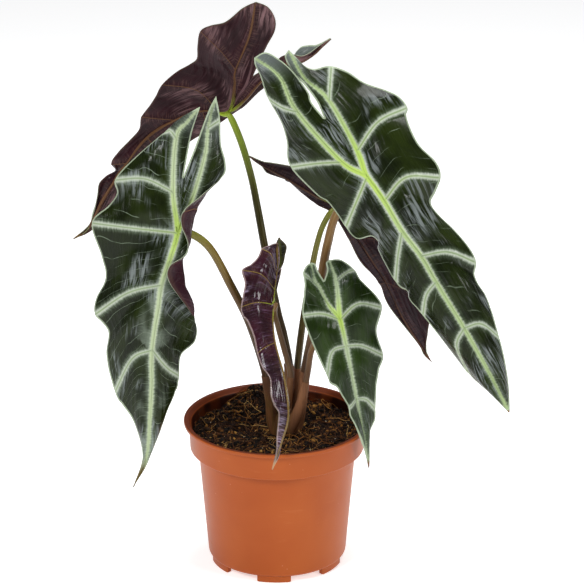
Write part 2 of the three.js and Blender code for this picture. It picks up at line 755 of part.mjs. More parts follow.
// The rows inside a lobe: from its vein to the line that both lobes share down to the bottom of the
// notch, and past that to the lobe's free inner edge.
function innerRows(sheet, leaf, side, joint, numbers) {
  const spine = spineOf(leaf, side, joint);
  const last = joint + side.vein.length;
  const shared = [spine(joint), ...leaf.notch.map(seen)];
  const free = side.inner.map(([n, point]) => [n, seen(point)]);
  free.unshift([side.notchAt, shared[shared.length - 1]]);
  free.push([last, spine(last)]);
  return numbers.map((n) => {
    const passed = shared.filter((_, k) => seamNumber(leaf, side, joint, k) <= n);
    const end = n < side.notchAt ? passed[passed.length - 1] : along(free, n);
    return innerRow(sheet, spine(n), end);
  });
}

// The midrib as a curve by number and, past the joint, the vein of one lobe. Both sides of a leaf
// share the midrib, which heads for the middle between the two veins at the joint.
function spineOf(leaf, side, joint) {
  const starts = leaf.sides.map(({ vein }) => vein[0]);
  const ahead = starts[0].map((c, i) => (c + starts[1][i]) / 2);
  const midrib = numbered([...leaf.midrib, ahead]);
  const vein = numbered([...leaf.midrib.slice(-2), ...side.vein], joint - 1);
  return (n) => along(n > joint ? vein : midrib, n);
}

function innerRow(sheet, start, end) {
  return ACROSS_INNER.map((t) => sheet.corner(start.clone().lerp(end, t), 0));
}

// A round rod along a smooth path, closed at both ends, whose radius changes evenly on the way.
function rod(points, base, tip, steps) {
  const path = new THREE.CatmullRomCurve3(points, false, "centripetal");
  const frames = path.computeFrenetFrames(steps, false);
  const { sides } = STEM;
  const corners = [];
  const triangles = [];
  for (let i = 0; i <= steps; i++) {
    const centre = path.getPointAt(i / steps);
    const radius = THREE.MathUtils.lerp(base, tip, i / steps);
    for (let k = 0; k < sides; k++) {
      const angle = (2 * Math.PI * k) / sides;
      const point = centre.clone();
      point.addScaledVector(frames.normals[i], radius * Math.cos(angle));
      point.addScaledVector(frames.binormals[i], radius * Math.sin(angle));
      corners.push(...point.toArray());
    }
  }
  const start = corners.length / 3;
  corners.push(...path.getPointAt(0).toArray(), ...path.getPointAt(1).toArray());
  for (let k = 0; k < sides; k++) {
    const next = (k + 1) % sides;
    for (let i = 0; i < steps; i++) {
      const [a, b] = [i * sides + k, i * sides + next];
      triangles.push(a, b, b + sides, a, b + sides, a + sides);
    }
    const top = steps * sides;
    triangles.push(start, next, k, start + 1, top + k, top + next);
  }
  return solid(corners, triangles);
}

// A solid turned about Z from a profile of [radius, height] points that closes on itself.
function lathe(profile, segments) {
  const geometry = new THREE.LatheGeometry(
    profile.map(([r, z]) => new THREE.Vector2(r, z)),
    segments,
  );
  geometry.rotateX(Math.PI / 2);
  return fromGeometry(geometry);
}

// A three.js geometry as a manifold-3d solid, with corners on one place joined.
function fromGeometry(geometry) {
  const position = geometry.attributes.position;
  const points = [];
  const places = new Map();
  const corner = (k) => {
    const at = [position.getX(k), position.getY(k), position.getZ(k)];
    const place = at.map((c) => (Math.abs(c) < 5e-5 ? 0 : c).toFixed(4)).join();
    if (!places.has(place)) {
      places.set(place, points.length / 3);
      points.push(...at);
    }
    return places.get(place);
  };
  const index = geometry.index ? [...geometry.index.array] : [...Array(position.count).keys()];
  const triangles = [];
  for (let i = 0; i < index.length; i += 3) {
    const face = [corner(index[i]), corner(index[i + 1]), corner(index[i + 2])];
    if (new Set(face).size === 3) triangles.push(...face);
  }
  return solid(points, triangles);
}

// A manifold-3d solid as a named mesh.
function mesh(name, body, material) {
  const { numVert, numProp, vertProperties, triVerts } = body.getMesh();
  const points = new Float32Array(numVert * 3);
  for (let i = 0; i < numVert; i++)
    points.set(vertProperties.subarray(i * numProp, i * numProp + 3), i * 3);
  const geometry = new THREE.BufferGeometry();
  geometry.setAttribute("position", new THREE.BufferAttribute(points, 3));
  geometry.setIndex(new THREE.BufferAttribute(triVerts, 1));
  geometry.computeVertexNormals();
  const piece = new THREE.Mesh(geometry, material);
  piece.name = name;
  return piece;
}

// The largest of the separate bodies that a cut leaves, without the slivers of the cut.
function largest(body) {
  const bodies = body.decompose();
  return bodies.reduce((a, b) => (a.volume() > b.volume() ? a : b)).simplify(0.02);
}

// The inner wall of the pot, from the floor up, as [radius, height] points: it steps out at the foot
// of the band and again under the lip.
const BAND_FOOT = POT.height - POT.bandHeight;
const LIP_FOOT = POT.height - POT.lipHeight;
const INSIDE = [
  [POT.baseRadius - POT.wall - POT.floorCorner, POT.footHeight + POT.floor],
  [POT.shoulderRadius - POT.wall, BAND_FOOT + POT.bandStepStart],
  [POT.bandFootRadius - POT.wall, BAND_FOOT + POT.bandStepEnd],
  [POT.bandTopRadius - POT.wall, LIP_FOOT - POT.lipUnder],
  [POT.rimRadius - POT.lipWidth, POT.height],
];

// The pot: a turned wall and floor with a wider band round its mouth and a lip over the band, six
// feet that carry the wall down, and a drain hole in the floor behind each gap between the feet.
function pot() {
  const base = POT.baseRadius - POT.baseDraft;
  const outside = [
    [0, POT.footHeight],
    [base - POT.baseBevel, POT.footHeight],
    [base, POT.footHeight + POT.baseBevel],
    [POT.baseRadius, POT.baseTop],
    [POT.shoulderRadius, BAND_FOOT],
    [POT.bandFootRadius, BAND_FOOT],
    [POT.bandTopRadius, LIP_FOOT],
    [POT.rimRadius - POT.lipBevel / 2, LIP_FOOT],
    [POT.rimRadius, LIP_FOOT + POT.lipBevel],
    [POT.rimRadius, POT.height - POT.lipBevel],
    [POT.rimRadius - POT.lipBevel, POT.height],
  ];
  const wall = [...outside, ...[...INSIDE].reverse(), [0, POT.footHeight + POT.floor]];
  let body = lathe([...wall, wall[0]], POT.segments);
  const pitch = (2 * Math.PI) / POT.feet;
  for (let k = 0; k < POT.feet; k++) {
    const middle = -Math.PI / 2 + THREE.MathUtils.degToRad(POT.footTurn) + k * pitch;
    body = body.add(foot(middle)).subtract(drain(middle + pitch / 2));
  }
  return body;
}

// One foot: a block bent round the pot's axis, with its middle at `angle`.
function foot(angle) {
  const outer = POT.baseRadius - POT.footInset;
  const half = Math.asin(POT.footHalfWidth / outer);
  const sector = new THREE.Shape();
  sector.absarc(0, 0, outer, angle - half, angle + half, false);
  sector.absarc(0, 0, outer - POT.footDepth, angle + half, angle - half, true);
  const block = new THREE.ExtrudeGeometry(sector, {
    depth: POT.footHeight + POT.footSunk,
    bevelEnabled: false,
    curveSegments: POT.footSides,
  });
  return fromGeometry(block);
}

// The round bar that cuts one drain hole.
function drain(angle) {
  const { drainRadius, drainSides, floor } = POT;
  const bar = new THREE.CylinderGeometry(drainRadius, drainRadius, 4 * floor, drainSides);
  bar.rotateX(Math.PI / 2);
  const [x, y] = [POT.drainRing * Math.cos(angle), POT.drainRing * Math.sin(angle)];
  bar.translate(x, y, POT.footHeight);
  return fromGeometry(bar);
}

// The height of the soil: shallow lumps on a level, with each wide form as a bell of its width.
function soilHeight(x, y) {
  const { waves, slant, forms } = SOIL;
  let height = POT.height - SOIL.depthBelowRim;
  height += waves.height * Math.sin(waves.x * x + waves.startX) * Math.sin(waves.y * y + waves.startY);
  height += slant.height * Math.sin(slant.x * x + slant.y * y);
  for (const form of forms) {
    const away = Math.hypot(x - form.x, y - form.y) / form.width;
    height += form.rise * Math.exp(-away * away);
  }
  return height;
}

// The soil fills the pot: the pot's inner wall less the gap, under the lumpy surface.
function soil() {
  const sides = INSIDE.map(([r, z], i) => [r - CLEARANCE, i === 0 ? z + CLEARANCE : z]);
  const [low, high] = [sides[2], sides[3]];
  const level = POT.height - SOIL.depthBelowRim;
  const edge = low[0] + ((high[0] - low[0]) * (level - low[1])) / (high[1] - low[1]) - CLEARANCE;
  const rings = [];
  for (const [radius, z] of [sides[0], sides[1], [low[0], low[1] + CLEARANCE]])
    rings.push([radius, () => z]);
  for (let i = 0; i < SOIL.rings; i++) rings.push([edge * (1 - i / SOIL.rings), soilHeight]);
  const corners = rings.flatMap(([radius, height]) =>
    Array.from({ length: SOIL.segments }, (_, k) => {
      const angle = (2 * Math.PI * k) / SOIL.segments;
      const [x, y] = [radius * Math.cos(angle), radius * Math.sin(angle)];
      return [x, y, height(x, y)];
    }).flat(),
  );
  const bottom = corners.length / 3;
  corners.push(0, 0, sides[0][1], 0, 0, soilHeight(0, 0));
  const triangles = [];
  for (let k = 0; k < SOIL.segments; k++) {
    const next = (k + 1) % SOIL.segments;
    triangles.push(bottom, next, k);
    for (let i = 0; i + 1 < rings.length; i++) {
      const [a, b] = [i * SOIL.segments + k, i * SOIL.segments + next];
      triangles.push(a, b, b + SOIL.segments, a, b + SOIL.segments, a + SOIL.segments);
    }
    const top = (rings.length - 1) * SOIL.segments;
    triangles.push(bottom + 1, top + k, top + next);
  }
  return solid(corners, triangles);
}

const plant = new THREE.Group();
const sheets = new Map();
const blades = new Map();
const stems = new Map();
for (const [name, leaf] of Object.entries(LEAVES)) {
  const sheet = bladeSheet(leaf);
  sheets.set(name, sheet);
  blades.set(name, sheet.shell(BLADE.thickness));
  const { points, base, tip } = leaf.stem;
  const whole = rod([...points.map(seen), underJoint(leaf, sheet)], base, tip, STEM.steps);
  const room = sheet.shell(BLADE.thickness + 2 * CLEARANCE);
  stems.set(name, largest(whole.subtract(room)));
}

// The crown: a short stout stem in the soil, with a sheath round the foot of each stem. `spare` makes
// it larger all round, for the hole that it stands in.
function crownBody(spare) {
  const { bottom, top, radius, taper, footInset, topInset, sheathStart } = CROWN;
  const profile = [
    [0, bottom - spare],
    [radius - footInset + spare, bottom - spare],
    [radius + spare, bottom + taper],
    [radius + spare, top - taper],
    [radius - topInset + spare, top + spare],
    [0, top + spare],
    [0, bottom - spare],
  ];
  let body = lathe(profile, CROWN.segments).translate([CROWN.x, CROWN.y, 0]);
  const root = new THREE.Vector3(CROWN.x, CROWN.y, bottom + sheathStart.rise);
  for (const { stem } of Object.values(LEAVES)) {
    const start = root.clone().lerp(seen(stem.points[0]), sheathStart.share);
    const path = [start, seen(stem.points[0]), ...sheathPath(stem)];
    const wide = stem.base + CROWN.sheathWall + spare;
    const lip = stem.base + CROWN.sheathLip + spare;
    body = body.add(rod(path, wide, lip, STEM.sheathSteps));
  }
  return body;
}

// The part of a stem's path that its sheath covers, above the foot.
function sheathPath(stem) {
  const next = stem.points.findIndex(([, v]) => v > stem.sheathTop);
  const [a, b] = [stem.points[next - 1], stem.points[next]];
  const share = (stem.sheathTop - a[1]) / (b[1] - a[1]);
  const end = a.map((c, i) => c + (b[i] - c) * share);
  return [...stem.points.slice(1, next), end].map(seen);
}

let crown = crownBody(0);
for (const [name, leaf] of Object.entries(LEAVES)) {
  const { points, base, tip } = leaf.stem;
  const path = [...points.map(seen), underJoint(leaf, sheets.get(name))];
  crown = crown.subtract(rod(path, base + CLEARANCE, tip + CLEARANCE, STEM.steps));
}

plant.add(mesh("pot", pot(), paint(POT_COLOR, 0.5)));
plant.add(mesh("soil", largest(soil().subtract(crownBody(CLEARANCE))), paint(SOIL_COLOR, 0.95)));
plant.add(mesh("crown", largest(crown), paint(SHEATH_COLOR, 0.6)));
for (const [name, leaf] of Object.entries(LEAVES)) {
  plant.add(mesh(`stem_${name}`, stems.get(name), paint(STEM_COLORS[name], 0.5)));
  plant.add(mesh(`leaf_${name}`, blades.get(name), paint(leaf.color, 0.45)));
}

// The origin is the middle of the whole plant's box, at the underside of the feet.
const box = new THREE.Box3().setFromObject(plant);
const middle = box.getCenter(new THREE.Vector3());
plant.position.set(-middle.x, -middle.y, -box.min.z);

const part = new THREE.Group();
part.add(plant);

export default part;
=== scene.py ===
import math
import bpy
import numpy as np
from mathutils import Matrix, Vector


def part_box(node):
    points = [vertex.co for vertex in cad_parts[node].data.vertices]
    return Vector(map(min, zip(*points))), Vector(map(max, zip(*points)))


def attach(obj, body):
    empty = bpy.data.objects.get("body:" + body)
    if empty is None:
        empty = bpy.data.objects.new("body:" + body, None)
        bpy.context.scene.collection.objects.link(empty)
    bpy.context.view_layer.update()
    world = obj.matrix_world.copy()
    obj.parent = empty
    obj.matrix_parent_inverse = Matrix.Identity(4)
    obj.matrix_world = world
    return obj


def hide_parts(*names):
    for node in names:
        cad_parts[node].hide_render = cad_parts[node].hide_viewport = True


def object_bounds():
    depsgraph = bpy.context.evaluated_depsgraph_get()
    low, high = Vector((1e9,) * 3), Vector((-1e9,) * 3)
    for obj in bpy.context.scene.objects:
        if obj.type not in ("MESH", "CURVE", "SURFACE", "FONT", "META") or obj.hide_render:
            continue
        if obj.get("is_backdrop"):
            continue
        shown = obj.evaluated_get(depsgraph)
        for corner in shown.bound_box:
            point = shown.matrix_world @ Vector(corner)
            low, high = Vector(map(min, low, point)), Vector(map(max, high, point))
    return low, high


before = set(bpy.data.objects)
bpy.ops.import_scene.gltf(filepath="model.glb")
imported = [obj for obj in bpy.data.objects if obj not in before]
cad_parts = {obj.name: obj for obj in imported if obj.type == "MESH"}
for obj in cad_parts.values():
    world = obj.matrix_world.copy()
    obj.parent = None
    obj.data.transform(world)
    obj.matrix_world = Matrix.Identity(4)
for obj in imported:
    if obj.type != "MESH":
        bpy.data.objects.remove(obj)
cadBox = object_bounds()
print("frame loaded")

mm = 0.001
potLow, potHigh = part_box("pot")
axis = np.array([(potLow.x + potHigh.x) / 2, (potLow.y + potHigh.y) / 2, 0]) / mm  # the pot's axis

# Shapes are worked out in mm from the pot's axis. Plant points are [u, v, y]: u to the right and
# v up on the plane square to the front view, and the real depth y.
view = {
    "distance": 1900,  # from the eye to the aim
    "tilt": math.radians(20.65),
    "aim": np.array([10, 0, 189.3]),
    "u": 11.3,  # u and v of the aim
    "v": 193.3,
    "scale": 0.9814,  # mm at the aim's distance to one of u or v
    "lens": 179.0,
}
forward = np.array([0, math.cos(view["tilt"]), -math.sin(view["tilt"])])
upward = np.array([0, math.sin(view["tilt"]), math.cos(view["tilt"])])
eye = view["aim"] - forward * view["distance"]


# The place at depth y on the ray through (u, v): eye + ray * (y - eye.y) / ray.y
def seen(points):
    u, v, y = np.moveaxis(np.asarray(points, float), -1, 0)
    ray = forward * view["distance"] + upward * ((v - view["v"]) * view["scale"])[..., None]
    ray[..., 0] += (u - view["u"]) * view["scale"]
    return eye + ray * ((y - eye[1]) / ray[..., 1])[..., None]


# The cubic from a to b at the share f of its span: (1 + 2f)(1 - f)^2 a + f^2 (3 - 2f) b, plus the
# slopes at its ends times span f (1 - f)^2 and span f^2 (f - 1).
def cubic(f, span, a, b, slopeA, slopeB):
    return (
        (1 + 2 * f) * (1 - f) ** 2 * a
        + span * f * (1 - f) ** 2 * slopeA
        + f * f * (3 - 2 * f) * b
        + span * f * f * (f - 1) * slopeB
    )


# A smooth curve through keys: cubic pieces, whose slope at a key is the mean slope between its two
# neighbours.
def along(keys, values, at):
    keys, values, at = np.asarray(keys, float), np.asarray(values, float), np.asarray(at, float)
    order = np.arange(len(keys))
    before, after = np.maximum(order - 1, 0), np.minimum(order + 1, len(keys) - 1)
    slopes = (values[after] - values[before]) / (keys[after] - keys[before])[:, None]
    i = np.clip(np.searchsorted(keys, at, side="right") - 1, 0, len(keys) - 2)
    span = (keys[i + 1] - keys[i])[..., None]
    f = (at - keys[i])[..., None] / span
    return cubic(f, span, values[i], values[i + 1], slopes[i], slopes[i + 1])


# Smooth noise from -1 to 1: random values on a grid `size` apart, blended by 3f^2 - 2f^3. The grid
# repeats after 61 cells.
def noise(x, y, size, seed):
    table = np.random.default_rng(seed).uniform(-1, 1, (61, 61))
    x, y = np.asarray(x, float) / size, np.asarray(y, float) / size
    i, j = np.floor(x).astype(int), np.floor(y).astype(int)
    f, g = x - i, y - j
    f, g = f * f * (3 - 2 * f), g * g * (3 - 2 * g)
    corner = lambda a, b: table[(i + a) % 61, (j + b) % 61]
    low = corner(0, 0) * (1 - f) + corner(1, 0) * f
    high = corner(0, 1) * (1 - f) + corner(1, 1) * f
    return low * (1 - g) + high * g


# Vectors divided by their lengths.
def unit(vectors):
    return vectors / np.maximum(np.linalg.norm(vectors, axis=-1, keepdims=True), 1e-9)


# How far along a line of points each of them is.
def lengthAlong(points):
    return np.concatenate([[0], np.cumsum(np.linalg.norm(np.diff(points, axis=0), axis=1))])


# 3f^2 - 2f^3 with f from 0 at `low` to 1 at `high`.
def smoothstep(low, high, x):
    f = np.clip((x - low) / (high - low), 0, 1)
    return f * f * (3 - 2 * f)


# Four-cornered faces of a grid of points that are numbered row by row.
def gridFaces(rows, columns, closed=False):
    i, j = np.meshgrid(np.arange(rows - 1), np.arange(columns - (not closed)), indexing="ij")
    a, d = i * columns + j, i * columns + (j + 1) % columns
    return np.stack([a, a + columns, d + columns, d], -1).reshape(-1, 4)


# Points that lie on one place become one point; a four-cornered face that shrinks by it becomes a
# triangle or goes.
def weld(points, faces):
    _, first, index = np.unique(np.round(points, 3), axis=0, return_index=True, return_inverse=True)
    faces = index.reshape(-1)[faces]
    same = faces == np.roll(faces, -1, axis=1)
    whole = faces[~same.any(axis=1)]
    shrunk = faces[same.sum(axis=1) == 1]
    keep = ~(shrunk == np.roll(shrunk, -1, axis=1))
    return first, whole, shrunk[keep].reshape(-1, 3)


# An object from points in mm, its faces, and one value or vector a point under each attribute name.
def makePiece(name, points, faces, values=None):
    mesh = bpy.data.meshes.new(name)
    corners = [list(map(int, face)) for group in faces for face in group]
    mesh.from_pydata(((points + axis) * mm).tolist(), [], corners)
    for key, column in (values or {}).items():
        kind, field = ("FLOAT", "value") if column.ndim == 1 else ("FLOAT_VECTOR", "vector")
        attribute = mesh.attributes.new(key, kind, "POINT")
        attribute.data.foreach_set(field, np.asarray(column, np.float32).ravel())
    mesh.polygons.foreach_set("use_smooth", np.ones(len(mesh.polygons), bool))
    mesh.update()
    piece = bpy.data.objects.new(name, mesh)
    bpy.context.scene.collection.objects.link(piece)
    return piece


# The piece as its modifiers leave it, in its own mesh.
def settle(piece):
    shaped = piece.evaluated_get(bpy.context.evaluated_depsgraph_get())
    mesh = bpy.data.meshes.new_from_object(shaped)
    piece.modifiers.clear()
    piece.data = mesh
    mesh.polygons.foreach_set("use_smooth", np.ones(len(mesh.polygons), bool))


# One material on the piece, and its place in the frame: the body and the nodes it replaces.
def dress(piece, material, nodes=()):
    piece.data.materials.clear()
    piece.data.materials.append(material)
    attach(piece, "root")
    if nodes:
        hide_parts(*nodes)


# A socket in a sum: + - * / and the named functions add the Math nodes.
class Value:
    def __init__(self, paint, socket):
        self.paint, self.socket = paint, socket

    def math(self, operation, *others, flip=False):
        values = [self, *others]
        if flip:
            values.reverse()
        node = self.paint.add("ShaderNodeMath", {"operation": operation}, dict(enumerate(values)))
        return Value(self.paint, node.outputs[0])

    def __add__(self, other):
        return self.math("ADD", other)

    def __radd__(self, other):
        return self.math("ADD", other)

    def __sub__(self, other):
        return self.math("SUBTRACT", other)

    def __rsub__(self, other):
        return self.math("SUBTRACT", other, flip=True)

    def __mul__(self, other):
        return self.math("MULTIPLY", other)

    def __rmul__(self, other):
        return self.math("MULTIPLY", other)

    def __truediv__(self, other):
        return self.math("DIVIDE", other)

    def __rtruediv__(self, other):
        return self.math("DIVIDE", other, flip=True)

    # 0 at `low`, 1 at `high`, smooth between; `low` may be the greater
    def rise(self, low, high):
        ends = {"From Min": min(low, high), "From Max": max(low, high)}
        ends |= {"To Min": float(low > high), "To Max": float(low <= high), "Value": self}
        node = self.paint.add("ShaderNodeMapRange", {"interpolation_type": "SMOOTHSTEP"}, ends)
        return Value(self.paint, node.outputs["Result"])

    # 1 on thin lines that lie 1 apart, `width` wide
    def lines(self, width):
        off = (self.math("FRACT") - 0.5).math("ABSOLUTE")
        return off.rise(width, width * 0.2)


# A material under construction: `add` places any node, the rest are the ones used most.
class Paint:
    def __init__(self, name):
        self.material = bpy.data.materials.new(name)
        self.material.use_nodes = True
        self.tree = self.material.node_tree
        self.shader = self.tree.nodes["Principled BSDF"]

    def add(self, kind, settings=None, sockets=None):
        node = self.tree.nodes.new(kind)
        for key, value in (settings or {}).items():
            if key == "stops":
                self.setStops(node.color_ramp, value)
            else:
                setattr(node, key, value)
        self.connect(node, sockets or {})
        return node

    def connect(self, node, sockets):
        for key, value in sockets.items():
            if isinstance(value, Value):
                self.tree.links.new(value.socket, node.inputs[key])
            else:
                node.inputs[key].default_value = value

    def setStops(self, ramp, stops):
        while len(ramp.elements) < len(stops):
            ramp.elements.new(1)
        for element, (place, color) in zip(ramp.elements, stops):
            element.position = place
            element.color = shade(*color)

    def attribute(self, name, output="Fac"):
        return Value(self, self.add("ShaderNodeAttribute", {"attribute_name": name}).outputs[output])

    def place(self):
        return Value(self, self.add("ShaderNodeTexCoord").outputs["Object"])

    def stretch(self, vector, *scale):
        node = self.add("ShaderNodeVectorMath", {"operation": "MULTIPLY"}, {0: vector, 1: scale})
        return Value(self, node.outputs[0])

    def grain(self, vector, scale, detail=2.0, roughness=0.5, distortion=0.0):
        sockets = {"Vector": vector, "Scale": scale, "Detail": detail}
        sockets |= {"Roughness": roughness, "Distortion": distortion}
        return Value(self, self.add("ShaderNodeTexNoise", None, sockets).outputs[0])

    def cells(self, vector, scale):
        sockets = {"Vector": vector, "Scale": scale}
        return Value(self, self.add("ShaderNodeTexVoronoi", None, sockets).outputs[0])

    def ramp(self, value, stops):
        node = self.add("ShaderNodeValToRGB", {"stops": stops}, {0: value})
        return Value(self, node.outputs[0])

    # `over` laid on `under` with `share` from 0 to 1
    def blend(self, share, under, over):
        tints = [tint if isinstance(tint, Value) else shade(*tint) for tint in (under, over)]
        node = self.add("ShaderNodeMix", {"data_type": "RGBA"}, {0: share, 6: tints[0], 7: tints[1]})
        return Value(self, node.outputs[2])

    def bump(self, height, depth):
        node = self.add("ShaderNodeBump", None, {"Height": height, "Distance": depth, "Strength": 1.0})
        return Value(self, node.outputs[0])

    def finish(self, **sockets):
        named = {key.replace("_", " "): value for key, value in sockets.items()}
        self.connect(self.shader, named)
        return self.material


# A colour as it looks on screen, 0 to 255, as the linear colour that a socket takes
def shade(red, green, blue):
    linear = [((c / 255 + 0.055) / 1.055) ** 2.4 for c in (red, green, blue)]
    return (*linear, 1.0)


